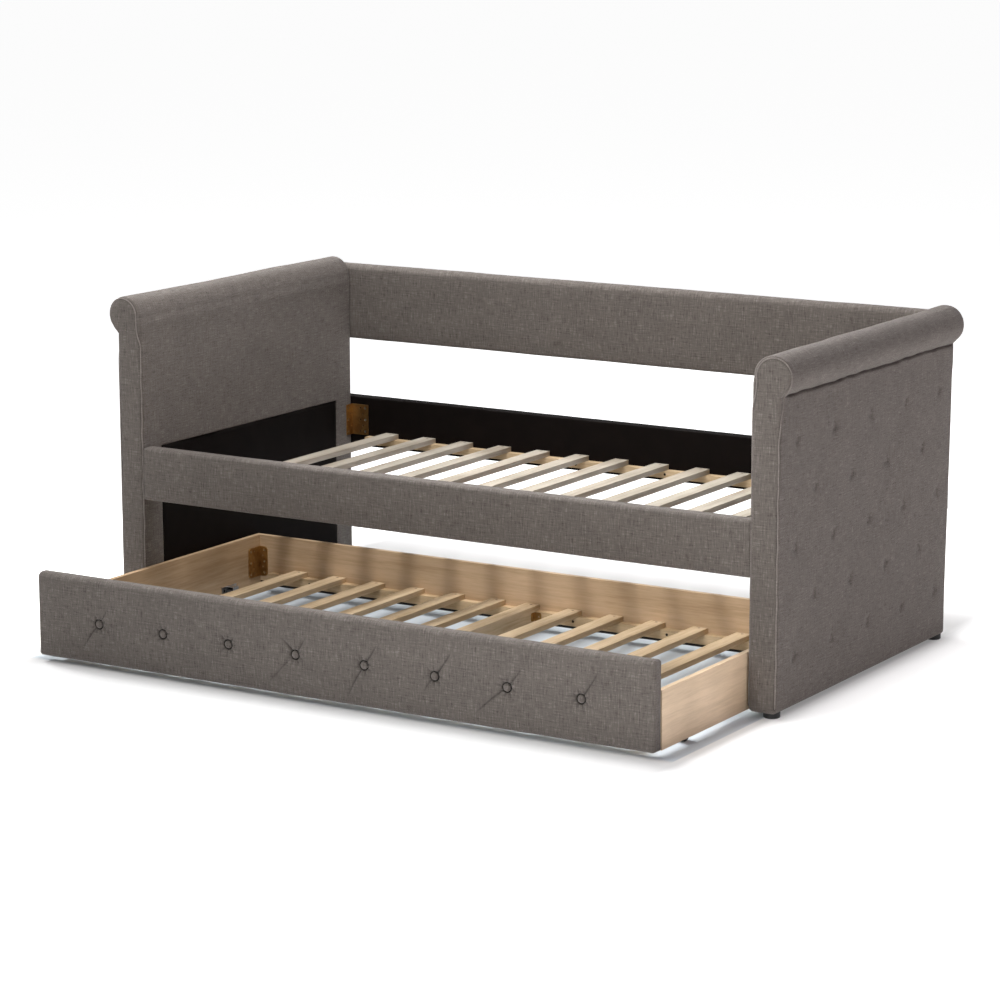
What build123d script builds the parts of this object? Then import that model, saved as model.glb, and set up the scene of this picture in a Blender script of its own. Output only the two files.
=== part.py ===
"""Upholstered twin daybed with a pull-out trundle on rolling wheels.

Millimetres. +X is the bed's right-hand end, -Y its front, +Z is up. The origin lies on the
floor, at the middle of the whole footprint with the trundle pulled out as it stands here.
"""
from build123d import *
from math import cos, pi, sin
import os

os.makedirs("parts", exist_ok=True)

# ---------------------------------------------------------------- driving sizes
# daybed
inner_length = 1930  # clear length between the two arms
arm_thickness = 80
arm_depth = 1055  # front face to rear face of an arm
roll_radius = 55  # rolled top of an arm
roll_centre_z = 885
roll_padding = 15  # wadding and cloth over the round core of the roll
glide_height = 16
glide_radius = 22
glide_chamfer = 2
glide_from_outer = 28  # from an arm's outer face to the middle of its glides
arm_padding = 12  # wadding and cloth over the arm's timber
post_depth = 72  # of an arm's front and rear post, front to back
arm_rail_height = 60
lining_top_z = 508  # lower edge of the arm's inner fabric
lining_side_gap = 88  # from an arm's front or rear face to its dust cloth
lining_thickness = 1.5
lining_sunk = 1.5
edge_round = 8

rail_thickness = 45
front_rail_bottom_z = 364
front_rail_height = 151
rear_rail_height = 145
board_height = 230
board_below_roll = 21  # the back board's top lies this far below the tops of the rolls
board_end_inset = 26  # the back board's ends stop short of the arms' outer faces
board_padding = 10  # wadding and cloth over the boards' cores
cloth_thickness = 2  # black cloth over the rear rail
board_round = 20
rail_round = 12

# slats and the ledgers that carry them
slat_width = 45
slat_thickness = 15
slat_count = 13
slat_end_gap = 1
first_bed_slat_from_arm = 148
last_bed_slat_from_arm = 162
bed_ledger_above_rail_bottom = 4
bed_ledger_height = 22
ledger_width = 25
ledger_bracket_gap = 2  # between a bed ledger's end and the corner bracket

# trundle
pulled_out = 484  # how far the trundle stands out of the bed at rest
trundle_rear_gap = 26  # pushed home, its back lies this far inside the arms' rear faces
trundle_arm_gap = 5
front_arm_gap = 3
front_thickness = 40
front_bottom_z = 16
front_height = 235
front_core_thickness = 18
front_core_from_back = 4
front_round = 11
side_thickness = 15
side_bottom_z = 18
side_height = 152
trundle_ledger_above_side_bottom = 14
trundle_ledger_height = 28
trundle_ledger_end_gap = 45
first_trundle_slat_from_side = 150
last_trundle_slat_from_side = 133
middle_slat_x = 5
left_of_middle_pitch = 115  # the slats beside the middle one are not evenly spaced
right_of_middle_pitch = 137
beam_width = 40
beam_height = 30

# rolling wheels
wheel_radius = 20
wheel_width = 20
wheel_round = 3
axle_radius = 3
axle_clearance = 0.05
hub_radius = 8
hub_gap = 0.3
wheel_side_gap = 1
wheel_top_gap = 3
caster_metal = 2.5
caster_plate_length = 70
caster_plate_above_side_bottom = 6
caster_cheek_length = 24
caster_cheek_below_axle = 7
caster_inset = 160  # from the trundle's front panel or back board to a wheel's axle

# covered buttons
button_radius = 12.5
button_thickness = 7
button_sunk = 1  # a button's face lies this far behind the fabric's face
front_button_count = 8
front_button_from_end = 209.5
front_button_above_bottom = 112
arm_button_rows = 5
arm_button_columns = 5  # the rows between have one button less
arm_button_from_edge = 97.5
arm_button_first_above_bottom = 136
arm_button_last_below_roll = 169  # from the roll's centre line to the top row

# corner brackets, bolts and screws
bracket_metal = 2.5
bed_bracket_height = 95
bed_bracket_above_ledger = 1
bed_bracket_rail_leg = 60
bed_bracket_arm_leg = 36
trundle_bracket_height = 90
trundle_bracket_above_side_bottom = 28
trundle_bracket_side_leg = 60
trundle_bracket_end_leg = 28
beam_bracket_leg = 22
beam_bracket_height = 24
bracket_edge = 11  # from a leg's edges to its screws
spare_hole_radius = 2.5
spare_hole_step = 18  # from the column of screws to the column of empty holes
screw_radius = 2
screw_head_radius = 4
screw_head_height = 2.5
screw_edge = 12  # from a slat's end to its screw
screw_tip_cover = 3  # wood left beyond a screw that nearly passes through
ledger_screw_count = 6
ledger_screw_in_rail = 19
bracket_screw_length = 12
arm_screw_in_post = 13
bolt_radius = 4
bolt_head_radius = 9
bolt_head_height = 5
bolt_head_sunk = 1
bolt_from_post_face = 20
bolt_into_post = 48
bolt_edge = 40  # from a board's top or bottom edge to its bolts

# ---------------------------------------------------------------- planes that follow
back_thickness = rail_thickness
footprint_depth = pulled_out + arm_depth + back_thickness
front_y = pulled_out - footprint_depth / 2  # front faces of the arms and the front rail
rear_y = front_y + arm_depth  # rear faces of the arms
back_y = rear_y + back_thickness
inner_x = inner_length / 2
outer_x = inner_x + arm_thickness
roll_core_radius = roll_radius - roll_padding
lining_recess = lining_sunk + lining_thickness
front_rail_top_z = front_rail_bottom_z + front_rail_height
rear_rail_bottom_z = front_rail_bottom_z
rear_rail_top_z = rear_rail_bottom_z + rear_rail_height
board_top_z = roll_centre_z + roll_radius - board_below_roll
board_bottom_z = board_top_z - board_height
board_end_x = outer_x - board_end_inset
panel_y = front_y - pulled_out  # front face of the trundle
panel_rear_y = panel_y + front_thickness
trundle_back_y = panel_y + arm_depth - trundle_rear_gap
trundle_inner_y = trundle_back_y - side_thickness
trundle_outer_x = inner_x - trundle_arm_gap
trundle_inner_x = trundle_outer_x - side_thickness
side_top_z = side_bottom_z + side_height
front_top_z = front_bottom_z + front_height
bed_ledger_bottom_z = front_rail_bottom_z + bed_ledger_above_rail_bottom
bed_ledger_top_z = bed_ledger_bottom_z + bed_ledger_height
bed_slat_top_z = bed_ledger_top_z + slat_thickness
trundle_ledger_bottom_z = side_bottom_z + trundle_ledger_above_side_bottom
trundle_ledger_top_z = trundle_ledger_bottom_z + trundle_ledger_height
trundle_slat_top_z = trundle_ledger_top_z + slat_thickness
bed_slat_screw_length = slat_thickness + bed_ledger_height - screw_tip_cover
trundle_slat_screw_length = slat_thickness + trundle_ledger_height - screw_tip_cover
bed_ledger_screw_length = ledger_width + ledger_screw_in_rail
trundle_ledger_screw_length = ledger_width + side_thickness - screw_tip_cover
arm_screw_length = bracket_metal + arm_padding + arm_screw_in_post
front_rail_rear_y = front_y + rail_thickness
half_count = slat_count // 2

sides = {"left": -1, "right": 1}


def block(x_span, y_span, z_span, mode=Mode.ADD):
    """A rectangular block between two values on each axis."""
    sizes = [abs(b - a) for a, b in (x_span, y_span, z_span)]
    middle = [(a + b) / 2 for a, b in (x_span, y_span, z_span)]
    with Locations(tuple(middle)):
        Box(*sizes, mode=mode)


def screws(spots, length, mode=Mode.ADD):
    """Countersunk screws whose heads lie at the spots and whose shanks point down their -Z."""
    with Locations(*spots):
        Cylinder(screw_radius, length, align=(Align.CENTER, Align.CENTER, Align.MAX), mode=mode)
        Cone(
            screw_radius,
            screw_head_radius,
            screw_head_height,
            align=(Align.CENTER, Align.CENTER, Align.MAX),
            mode=mode,
        )


def facing(point, outward):
    """A location at the point whose +Z looks outward."""
    return Plane(origin=point, z_dir=outward).location


def spread(first, last, count):
    """Evenly spaced values from the first to the last."""
    step = (last - first) / (count - 1)
    return [first + number * step for number in range(count)]


# ---------------------------------------------------------------- where things repeat
bed_slat_x = spread(
    -inner_x + first_bed_slat_from_arm,
    inner_x - last_bed_slat_from_arm,
    slat_count,
)
trundle_slat_x = spread(
    -trundle_inner_x + first_trundle_slat_from_side,
    middle_slat_x - left_of_middle_pitch,
    half_count,
)
trundle_slat_x += [middle_slat_x]
trundle_slat_x += spread(
    middle_slat_x + right_of_middle_pitch,
    trundle_inner_x - last_trundle_slat_from_side,
    half_count,
)

bed_slat_ends = (front_rail_rear_y + slat_end_gap, rear_y - slat_end_gap)
trundle_slat_ends = (panel_rear_y + slat_end_gap, trundle_inner_y - slat_end_gap)


def slat_screw_spots(slat_x, ends, top_z):
    """One screw near each end of every slat, driven down into the ledgers."""
    rows = (ends[0] + screw_edge, ends[1] - screw_edge)
    return [facing((x, y, top_z), (0, 0, 1)) for x in slat_x for y in rows]


def ledger_screw_spots(half_length, face_y, middle_z, outward):
    """An even row of screws along a ledger's open face."""
    from_end = half_length / ledger_screw_count
    return [
        facing((x, face_y, middle_z), (0, outward, 0))
        for x in spread(-half_length + from_end, half_length - from_end, ledger_screw_count)
    ]


bed_slat_screws = slat_screw_spots(bed_slat_x, bed_slat_ends, bed_slat_top_z)
trundle_slat_screws = slat_screw_spots(trundle_slat_x, trundle_slat_ends, trundle_slat_top_z)

bed_ledger_half = inner_x - bed_bracket_rail_leg - ledger_bracket_gap
bed_ledger_span_z = (bed_ledger_bottom_z, bed_ledger_top_z)
bed_ledger_middle_z = (bed_ledger_bottom_z + bed_ledger_top_z) / 2
bed_front_ledger_y = (front_rail_rear_y, front_rail_rear_y + ledger_width)
bed_rear_ledger_y = (rear_y - ledger_width, rear_y)
bed_front_ledger_screws = ledger_screw_spots(
    bed_ledger_half, bed_front_ledger_y[1], bed_ledger_middle_z, 1
)
bed_rear_ledger_screws = ledger_screw_spots(
    bed_ledger_half, bed_rear_ledger_y[0], bed_ledger_middle_z, -1
)

trundle_ledger_half = trundle_inner_x - trundle_ledger_end_gap
trundle_ledger_span_z = (trundle_ledger_bottom_z, trundle_ledger_top_z)
trundle_ledger_middle_z = (trundle_ledger_bottom_z + trundle_ledger_top_z) / 2
trundle_front_ledger_y = (panel_rear_y, panel_rear_y + ledger_width)
trundle_rear_ledger_y = (trundle_inner_y - ledger_width, trundle_inner_y)
trundle_front_ledger_screws = ledger_screw_spots(
    trundle_ledger_half, trundle_front_ledger_y[1], trundle_ledger_middle_z, 1
)
trundle_rear_ledger_screws = ledger_screw_spots(
    trundle_ledger_half, trundle_rear_ledger_y[0], trundle_ledger_middle_z, -1
)

# bolts that hold the back board and the rear rail to the arms' rear posts
bolt_x = inner_x + arm_padding + bolt_from_post_face
bolt_rows = (
    rear_rail_bottom_z + bolt_edge,
    rear_rail_top_z - bolt_edge,
    board_bottom_z + bolt_edge,
    board_top_z - bolt_edge,
)
bolt_length = back_thickness - bolt_head_sunk - bolt_head_height + arm_padding + bolt_into_post
bolt_spots = [
    facing((side * bolt_x, back_y - bolt_head_sunk, z), (0, 1, 0))
    for side in sides.values()
    for z in bolt_rows
]


def bolts(mode=Mode.ADD, pocket=0.0):
    """Bolts with low round heads; the pocket opens the way in front of the heads."""
    with Locations(*bolt_spots):
        Cylinder(
            bolt_radius,
            bolt_length + bolt_head_height,
            align=(Align.CENTER, Align.CENTER, Align.MAX),
            mode=mode,
        )
        with Locations((0, 0, pocket)):
            Cylinder(
                bolt_head_radius,
                bolt_head_height + pocket,
                align=(Align.CENTER, Align.CENTER, Align.MAX),
                mode=mode,
            )


# screws through the two legs of each corner bracket, and the empty holes beside them
def leg_spots(corner, x_dir, y_dir, x_leg, y_leg, height):
    """Spots for screws near the free edges of a bracket's X leg and Y leg."""
    x, y, z = corner
    rows = spread(z + bracket_edge, z + height - bracket_edge, 3)
    x_screw = x + x_dir * (x_leg - bracket_edge)
    y_screw = y + y_dir * (y_leg - bracket_edge)
    on_x_leg = [facing((x_screw, y + y_dir * bracket_metal, row), (0, y_dir, 0)) for row in rows]
    on_y_leg = [facing((x + x_dir * bracket_metal, y_screw, row), (x_dir, 0, 0)) for row in rows]
    return on_x_leg, on_y_leg


def bracket_screws(corners, x_leg, y_leg, height):
    """All the screw spots of four brackets, first on their X legs, then on their Y legs."""
    x_leg_spots = []
    y_leg_spots = []
    for corner, x_dir, y_dir in corners:
        on_x_leg, on_y_leg = leg_spots(corner, x_dir, y_dir, x_leg, y_leg, height)
        x_leg_spots += on_x_leg
        y_leg_spots += on_y_leg
    return x_leg_spots, y_leg_spots


def four_corners(corner_x, front, rear, z):
    """Inside corners of a box, each with the directions that its bracket's legs run."""
    return [
        ((side * corner_x, y, z), -side, y_dir)
        for side in sides.values()
        for y, y_dir in ((front, 1), (rear, -1))
    ]


bed_corners = four_corners(
    inner_x, front_rail_rear_y, rear_y, bed_ledger_top_z + bed_bracket_above_ledger
)
trundle_corners = four_corners(
    trundle_inner_x, panel_rear_y, trundle_inner_y, side_bottom_z + trundle_bracket_above_side_bottom
)
bed_bracket_rail_screws, bed_bracket_arm_screws = bracket_screws(
    bed_corners, bed_bracket_rail_leg, bed_bracket_arm_leg, bed_bracket_height
)
trundle_bracket_end_screws, trundle_bracket_side_screws = bracket_screws(
    trundle_corners, trundle_bracket_end_leg, trundle_bracket_side_leg, trundle_bracket_height
)

# covered buttons
front_half_length = inner_x - front_arm_gap
front_button_x = spread(
    -front_half_length + front_button_from_end,
    front_half_length - front_button_from_end,
    front_button_count,
)
front_button_z = front_bottom_z + front_button_above_bottom
front_button_spots = [
    facing((x, panel_y + button_sunk, front_button_z), (0, -1, 0)) for x in front_button_x
]
arm_button_z = spread(
    glide_height + arm_button_first_above_bottom,
    roll_centre_z - arm_button_last_below_roll,
    arm_button_rows,
)
arm_button_y = spread(
    front_y + arm_button_from_edge, rear_y - arm_button_from_edge, arm_button_columns
)


def arm_button_spots(side):
    """Staggered rows of buttons on an arm's outer face."""
    between = [(a + b) / 2 for a, b in zip(arm_button_y, arm_button_y[1:])]
    return [
        facing((side * (outer_x - button_sunk), y, z), (side, 0, 0))
        for row, z in enumerate(arm_button_z)
        for y in (between if row % 2 else arm_button_y)
    ]


def buttons(spots, mode=Mode.ADD):
    """Covered buttons sunk in the padding, their faces at the spots."""
    with Locations(*spots):
        Cylinder(
            button_radius,
            button_thickness,
            align=(Align.CENTER, Align.CENTER, Align.MAX),
            mode=mode,
        )


def button_pockets(spots):
    """The hollows that the buttons pull into the padding."""
    with Locations(*spots):
        with Locations((0, 0, button_sunk)):
            Cylinder(
                button_radius,
                button_thickness + button_sunk,
                align=(Align.CENTER, Align.CENTER, Align.MAX),
                mode=Mode.SUBTRACT,
            )


# rolling wheels, one at each corner of the trundle
caster_places = {
    f"{end}_{side_name}": (side, y)
    for side_name, side in sides.items()
    for end, y in (
        ("front", panel_rear_y + caster_inset),
        ("rear", trundle_inner_y - caster_inset),
    )
}
wheel_x = trundle_inner_x - caster_metal - wheel_side_gap - wheel_width / 2
hub_proud = wheel_side_gap - hub_gap
caster_top_z = 2 * wheel_radius + wheel_top_gap + caster_metal
caster_cheek_bottom_z = wheel_radius - caster_cheek_below_axle
caster_plate_bottom_z = side_bottom_z + caster_plate_above_side_bottom
caster_screw_z = (caster_plate_bottom_z + caster_top_z) / 2
caster_screw_step = caster_plate_length / 2 - bracket_edge
caster_screws = [
    facing((side * (trundle_inner_x - caster_metal), y + step, caster_screw_z), (-side, 0, 0))
    for side, y in caster_places.values()
    for step in (-caster_screw_step, caster_screw_step)
]

# ---------------------------------------------------------------- arms
arm_rail_tops = (
    glide_height + arm_rail_height,
    lining_top_z + arm_rail_height / 2,
    roll_centre_z,
)
for side_name, side in sides.items():
    timber_inner = side * (inner_x + arm_padding)
    timber_outer = side * (outer_x - arm_padding)
    timber_x = (timber_inner, timber_outer)
    timber_front = front_y + arm_padding
    timber_rear = rear_y - arm_padding
    roll_x = side * (inner_x + roll_radius)
    arm_screws = [
        spot for spot in bed_bracket_arm_screws if spot.position.X * side > 0
    ]

    # timber ladder: two posts, three rails and the round core of the roll
    with BuildPart() as arm_frame:
        block(timber_x, (timber_front, timber_front + post_depth), (glide_height, roll_centre_z))
        block(timber_x, (timber_rear - post_depth, timber_rear), (glide_height, roll_centre_z))
        for rail_top in arm_rail_tops:
            block(timber_x, (timber_front, timber_rear), (rail_top - arm_rail_height, rail_top))
        with BuildSketch(Plane.XZ.offset(-timber_front)):
            with Locations((roll_x, roll_centre_z)):
                Circle(roll_core_radius)
        extrude(amount=timber_front - timber_rear)
        bolts(Mode.SUBTRACT)
        screws(arm_screws, arm_screw_length, Mode.SUBTRACT)
    arm_frame.part.label = f"{side_name}_arm_frame"
    export_step(arm_frame.part, f"parts/{side_name}_arm_frame.step")

    # padded cover: a flat wall whose top rolls outward
    with BuildPart() as arm_cover:
        with BuildSketch(Plane.XZ.offset(-front_y)):
            with Locations((side * (inner_x + arm_thickness / 2), (glide_height + roll_centre_z) / 2)):
                Rectangle(arm_thickness, roll_centre_z - glide_height)
            with Locations((roll_x, roll_centre_z)):
                Circle(roll_radius)
        extrude(amount=-arm_depth)
        upright = arm_cover.edges().filter_by(Axis.Z)
        fillet(upright, edge_round)
        block(
            (side * inner_x, side * (inner_x + lining_recess)),
            (front_y + lining_side_gap, rear_y - lining_side_gap),
            (glide_height, lining_top_z),
            Mode.SUBTRACT,
        )
        add(arm_frame.part, mode=Mode.SUBTRACT)
        bolts(Mode.SUBTRACT)
        screws(arm_screws, arm_screw_length, Mode.SUBTRACT)
        button_pockets(arm_button_spots(side))
    arm_cover.part.label = f"{side_name}_arm_cover"
    export_step(arm_cover.part, f"parts/{side_name}_arm_cover.step")

# black dust cloths over the open lower halves of the arms
with BuildPart() as arm_linings:
    for side in sides.values():
        lining_x = side * (inner_x + lining_recess)
        block(
            (lining_x - side * lining_thickness, lining_x),
            (front_y + lining_side_gap, rear_y - lining_side_gap),
            (glide_height, lining_top_z),
        )
arm_linings.part.label = "arm_linings"
export_step(arm_linings.part, "parts/arm_linings.step")

with BuildPart() as arm_buttons:
    for side in sides.values():
        buttons(arm_button_spots(side))
arm_buttons.part.label = "arm_buttons"
export_step(arm_buttons.part, "parts/arm_buttons.step")

# round glides under the posts
glide_x = outer_x - glide_from_outer
glide_y = (front_y + arm_padding + glide_radius, rear_y - arm_padding - glide_radius)
with BuildPart() as arm_glides:
    with BuildSketch():
        with Locations(*[(side * glide_x, y) for side in sides.values() for y in glide_y]):
            Circle(glide_radius)
    extrude(amount=glide_height)
    chamfer(arm_glides.faces().group_by(Axis.Z)[0].edges(), glide_chamfer)
arm_glides.part.label = "arm_glides"
export_step(arm_glides.part, "parts/arm_glides.step")

# ---------------------------------------------------------------- back board and rails
board_core_y = (rear_y + board_padding, back_y - board_padding)
board_round_limit = back_thickness / 2 - cloth_thickness
with BuildPart() as back_board_core:
    block(
        (-board_end_x + board_padding, board_end_x - board_padding),
        board_core_y,
        (board_bottom_z + board_padding, board_top_z - board_padding),
    )
    bolts(Mode.SUBTRACT)
back_board_core.part.label = "back_board_core"
export_step(back_board_core.part, "parts/back_board_core.step")

with BuildPart() as back_board_cover:
    block((-board_end_x, board_end_x), (rear_y, back_y), (board_bottom_z, board_top_z))
    long_edges = back_board_cover.edges().filter_by(Axis.X)
    fillet(long_edges.group_by(Axis.Z)[-1], min(board_round, board_round_limit))
    add(back_board_core.part, mode=Mode.SUBTRACT)
    bolts(Mode.SUBTRACT, pocket=bolt_head_sunk)
back_board_cover.part.label = "back_board_cover"
export_step(back_board_cover.part, "parts/back_board_cover.step")

rear_core_y = (rear_y + cloth_thickness, back_y - cloth_thickness)
with BuildPart() as rear_rail_core:
    block(
        (-board_end_x + cloth_thickness, board_end_x - cloth_thickness),
        rear_core_y,
        (rear_rail_bottom_z + cloth_thickness, rear_rail_top_z - cloth_thickness),
    )
    bolts(Mode.SUBTRACT)
    screws(bed_rear_ledger_screws, bed_ledger_screw_length, Mode.SUBTRACT)
    screws(bed_bracket_rail_screws, bracket_screw_length, Mode.SUBTRACT)
rear_rail_core.part.label = "rear_rail_core"
export_step(rear_rail_core.part, "parts/rear_rail_core.step")

with BuildPart() as rear_rail_cover:
    block((-board_end_x, board_end_x), (rear_y, back_y), (rear_rail_bottom_z, rear_rail_top_z))
    add(rear_rail_core.part, mode=Mode.SUBTRACT)
    bolts(Mode.SUBTRACT, pocket=bolt_head_sunk)
    screws(bed_rear_ledger_screws, bed_ledger_screw_length, Mode.SUBTRACT)
    screws(bed_bracket_rail_screws, bracket_screw_length, Mode.SUBTRACT)
rear_rail_cover.part.label = "rear_rail_cover"
export_step(rear_rail_cover.part, "parts/rear_rail_cover.step")

with BuildPart() as front_rail_core:
    block(
        (-inner_x + board_padding, inner_x - board_padding),
        (front_y + board_padding, front_rail_rear_y - board_padding / 2),
        (front_rail_bottom_z + board_padding, front_rail_top_z - board_padding),
    )
    screws(bed_front_ledger_screws, bed_ledger_screw_length, Mode.SUBTRACT)
    screws(bed_bracket_rail_screws, bracket_screw_length, Mode.SUBTRACT)
front_rail_core.part.label = "front_rail_core"
export_step(front_rail_core.part, "parts/front_rail_core.step")

with BuildPart() as front_rail_cover:
    block((-inner_x, inner_x), (front_y, front_rail_rear_y), (front_rail_bottom_z, front_rail_top_z))
    long_edges = front_rail_cover.edges().filter_by(Axis.X)
    fillet(long_edges.group_by(Axis.Z)[-1], rail_round)
    add(front_rail_core.part, mode=Mode.SUBTRACT)
    screws(bed_front_ledger_screws, bed_ledger_screw_length, Mode.SUBTRACT)
    screws(bed_bracket_rail_screws, bracket_screw_length, Mode.SUBTRACT)
front_rail_cover.part.label = "front_rail_cover"
export_step(front_rail_cover.part, "parts/front_rail_cover.step")

# ---------------------------------------------------------------- bed ledgers and slats
with BuildPart() as bed_front_ledger:
    block((-bed_ledger_half, bed_ledger_half), bed_front_ledger_y, bed_ledger_span_z)
    screws(bed_front_ledger_screws, bed_ledger_screw_length, Mode.SUBTRACT)
    screws(bed_slat_screws, bed_slat_screw_length, Mode.SUBTRACT)
bed_front_ledger.part.label = "bed_front_ledger"
export_step(bed_front_ledger.part, "parts/bed_front_ledger.step")

with BuildPart() as bed_rear_ledger:
    block((-bed_ledger_half, bed_ledger_half), bed_rear_ledger_y, bed_ledger_span_z)
    screws(bed_rear_ledger_screws, bed_ledger_screw_length, Mode.SUBTRACT)
    screws(bed_slat_screws, bed_slat_screw_length, Mode.SUBTRACT)
bed_rear_ledger.part.label = "bed_rear_ledger"
export_step(bed_rear_ledger.part, "parts/bed_rear_ledger.step")

for number, slat_x in enumerate(bed_slat_x, start=1):
    with BuildPart() as bed_slat:
        block(
            (slat_x - slat_width / 2, slat_x + slat_width / 2),
            bed_slat_ends,
            (bed_ledger_top_z, bed_slat_top_z),
        )
        screws(
            slat_screw_spots([slat_x], bed_slat_ends, bed_slat_top_z),
            bed_slat_screw_length,
            Mode.SUBTRACT,
        )
    bed_slat.part.label = f"bed_slat_{number:02d}"
    export_step(bed_slat.part, f"parts/bed_slat_{number:02d}.step")


# ---------------------------------------------------------------- bed hardware
def corner_bracket(corner, x_dir, y_dir, x_leg, y_leg, height):
    """A folded metal angle with one leg along X and one along Y."""
    x, y, z = corner
    block((x, x + x_dir * x_leg), (y, y + y_dir * bracket_metal), (z, z + height))
    block((x, x + x_dir * bracket_metal), (y, y + y_dir * y_leg), (z, z + height))


def near(spot, corner):
    """True for a spot on the same bracket as the corner."""
    x, y, _ = corner
    return spot.position.X * x > 0 and abs(spot.position.Y - y) < arm_depth / 2


def spare_holes(spots, along):
    """Empty holes in a column beside the screws, a step away along the leg."""
    with Locations(*[Location(along) * spot for spot in spots]):
        Cylinder(spare_hole_radius, 2 * bracket_metal + spare_hole_radius, mode=Mode.SUBTRACT)


with BuildPart() as bed_corner_brackets:
    for corner, x_dir, y_dir in bed_corners:
        corner_bracket(
            corner, x_dir, y_dir, bed_bracket_rail_leg, bed_bracket_arm_leg, bed_bracket_height
        )
        on_rail = [spot for spot in bed_bracket_rail_screws if near(spot, corner)]
        spare_holes(on_rail, (-x_dir * spare_hole_step, 0, 0))
    screws(bed_bracket_rail_screws, bracket_screw_length, Mode.SUBTRACT)
    screws(bed_bracket_arm_screws, arm_screw_length, Mode.SUBTRACT)
bed_corner_brackets.part.label = "bed_corner_brackets"
export_step(bed_corner_brackets.part, "parts/bed_corner_brackets.step")

with BuildPart() as bed_screws:
    screws(bed_slat_screws, bed_slat_screw_length)
    screws(bed_front_ledger_screws, bed_ledger_screw_length)
    screws(bed_rear_ledger_screws, bed_ledger_screw_length)
    screws(bed_bracket_rail_screws, bracket_screw_length)
    screws(bed_bracket_arm_screws, arm_screw_length)
bed_screws.part.label = "bed_screws"
export_step(bed_screws.part, "parts/bed_screws.step")

with BuildPart() as back_bolts:
    bolts()
back_bolts.part.label = "back_bolts"
export_step(back_bolts.part, "parts/back_bolts.step")

# ---------------------------------------------------------------- trundle box
core_edge = (front_thickness - front_core_thickness - front_core_from_back) / 2
core_rear_y = panel_rear_y - front_core_from_back
with BuildPart() as trundle_front_core:
    block(
        (-front_half_length + core_edge, front_half_length - core_edge),
        (core_rear_y - front_core_thickness, core_rear_y),
        (front_bottom_z + core_edge, front_top_z - core_edge),
    )
    screws(trundle_front_ledger_screws, trundle_ledger_screw_length, Mode.SUBTRACT)
    screws(trundle_bracket_end_screws, bracket_screw_length, Mode.SUBTRACT)
trundle_front_core.part.label = "trundle_front_core"
export_step(trundle_front_core.part, "parts/trundle_front_core.step")

with BuildPart() as trundle_front_cover:
    block(
        (-front_half_length, front_half_length),
        (panel_y, panel_rear_y),
        (front_bottom_z, front_top_z),
    )
    fillet(trundle_front_cover.faces().sort_by(Axis.Y)[0].edges(), front_round)
    add(trundle_front_core.part, mode=Mode.SUBTRACT)
    button_pockets(front_button_spots)
    screws(trundle_front_ledger_screws, trundle_ledger_screw_length, Mode.SUBTRACT)
    screws(trundle_bracket_end_screws, bracket_screw_length, Mode.SUBTRACT)
trundle_front_cover.part.label = "trundle_front_cover"
export_step(trundle_front_cover.part, "parts/trundle_front_cover.step")

with BuildPart() as trundle_front_buttons:
    buttons(front_button_spots)
trundle_front_buttons.part.label = "trundle_front_buttons"
export_step(trundle_front_buttons.part, "parts/trundle_front_buttons.step")

for side_name, side in sides.items():
    side_screws = [
        spot
        for spot in trundle_bracket_side_screws + caster_screws
        if spot.position.X * side > 0
    ]
    with BuildPart() as trundle_side:
        block(
            (side * trundle_inner_x, side * trundle_outer_x),
            (panel_rear_y, trundle_back_y),
            (side_bottom_z, side_top_z),
        )
        screws(side_screws, bracket_screw_length, Mode.SUBTRACT)
    trundle_side.part.label = f"trundle_{side_name}_side"
    export_step(trundle_side.part, f"parts/trundle_{side_name}_side.step")

with BuildPart() as trundle_back:
    block(
        (-trundle_inner_x, trundle_inner_x),
        (trundle_inner_y, trundle_back_y),
        (side_bottom_z, side_top_z),
    )
    screws(trundle_rear_ledger_screws, trundle_ledger_screw_length, Mode.SUBTRACT)
    screws(trundle_bracket_end_screws, bracket_screw_length, Mode.SUBTRACT)
trundle_back.part.label = "trundle_back"
export_step(trundle_back.part, "parts/trundle_back.step")

# ---------------------------------------------------------------- trundle ledgers and slats
with BuildPart() as trundle_front_ledger:
    block((-trundle_ledger_half, trundle_ledger_half), trundle_front_ledger_y, trundle_ledger_span_z)
    screws(trundle_front_ledger_screws, trundle_ledger_screw_length, Mode.SUBTRACT)
    screws(trundle_slat_screws, trundle_slat_screw_length, Mode.SUBTRACT)
trundle_front_ledger.part.label = "trundle_front_ledger"
export_step(trundle_front_ledger.part, "parts/trundle_front_ledger.step")

with BuildPart() as trundle_rear_ledger:
    block((-trundle_ledger_half, trundle_ledger_half), trundle_rear_ledger_y, trundle_ledger_span_z)
    screws(trundle_rear_ledger_screws, trundle_ledger_screw_length, Mode.SUBTRACT)
    screws(trundle_slat_screws, trundle_slat_screw_length, Mode.SUBTRACT)
trundle_rear_ledger.part.label = "trundle_rear_ledger"
export_step(trundle_rear_ledger.part, "parts/trundle_rear_ledger.step")

for number, slat_x in enumerate(trundle_slat_x, start=1):
    with BuildPart() as trundle_slat:
        block(
            (slat_x - slat_width / 2, slat_x + slat_width / 2),
            trundle_slat_ends,
            (trundle_ledger_top_z, trundle_slat_top_z),
        )
        screws(
            slat_screw_spots([slat_x], trundle_slat_ends, trundle_slat_top_z),
            trundle_slat_screw_length,
            Mode.SUBTRACT,
        )
    trundle_slat.part.label = f"trundle_slat_{number:02d}"
    export_step(trundle_slat.part, f"parts/trundle_slat_{number:02d}.step")

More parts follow.
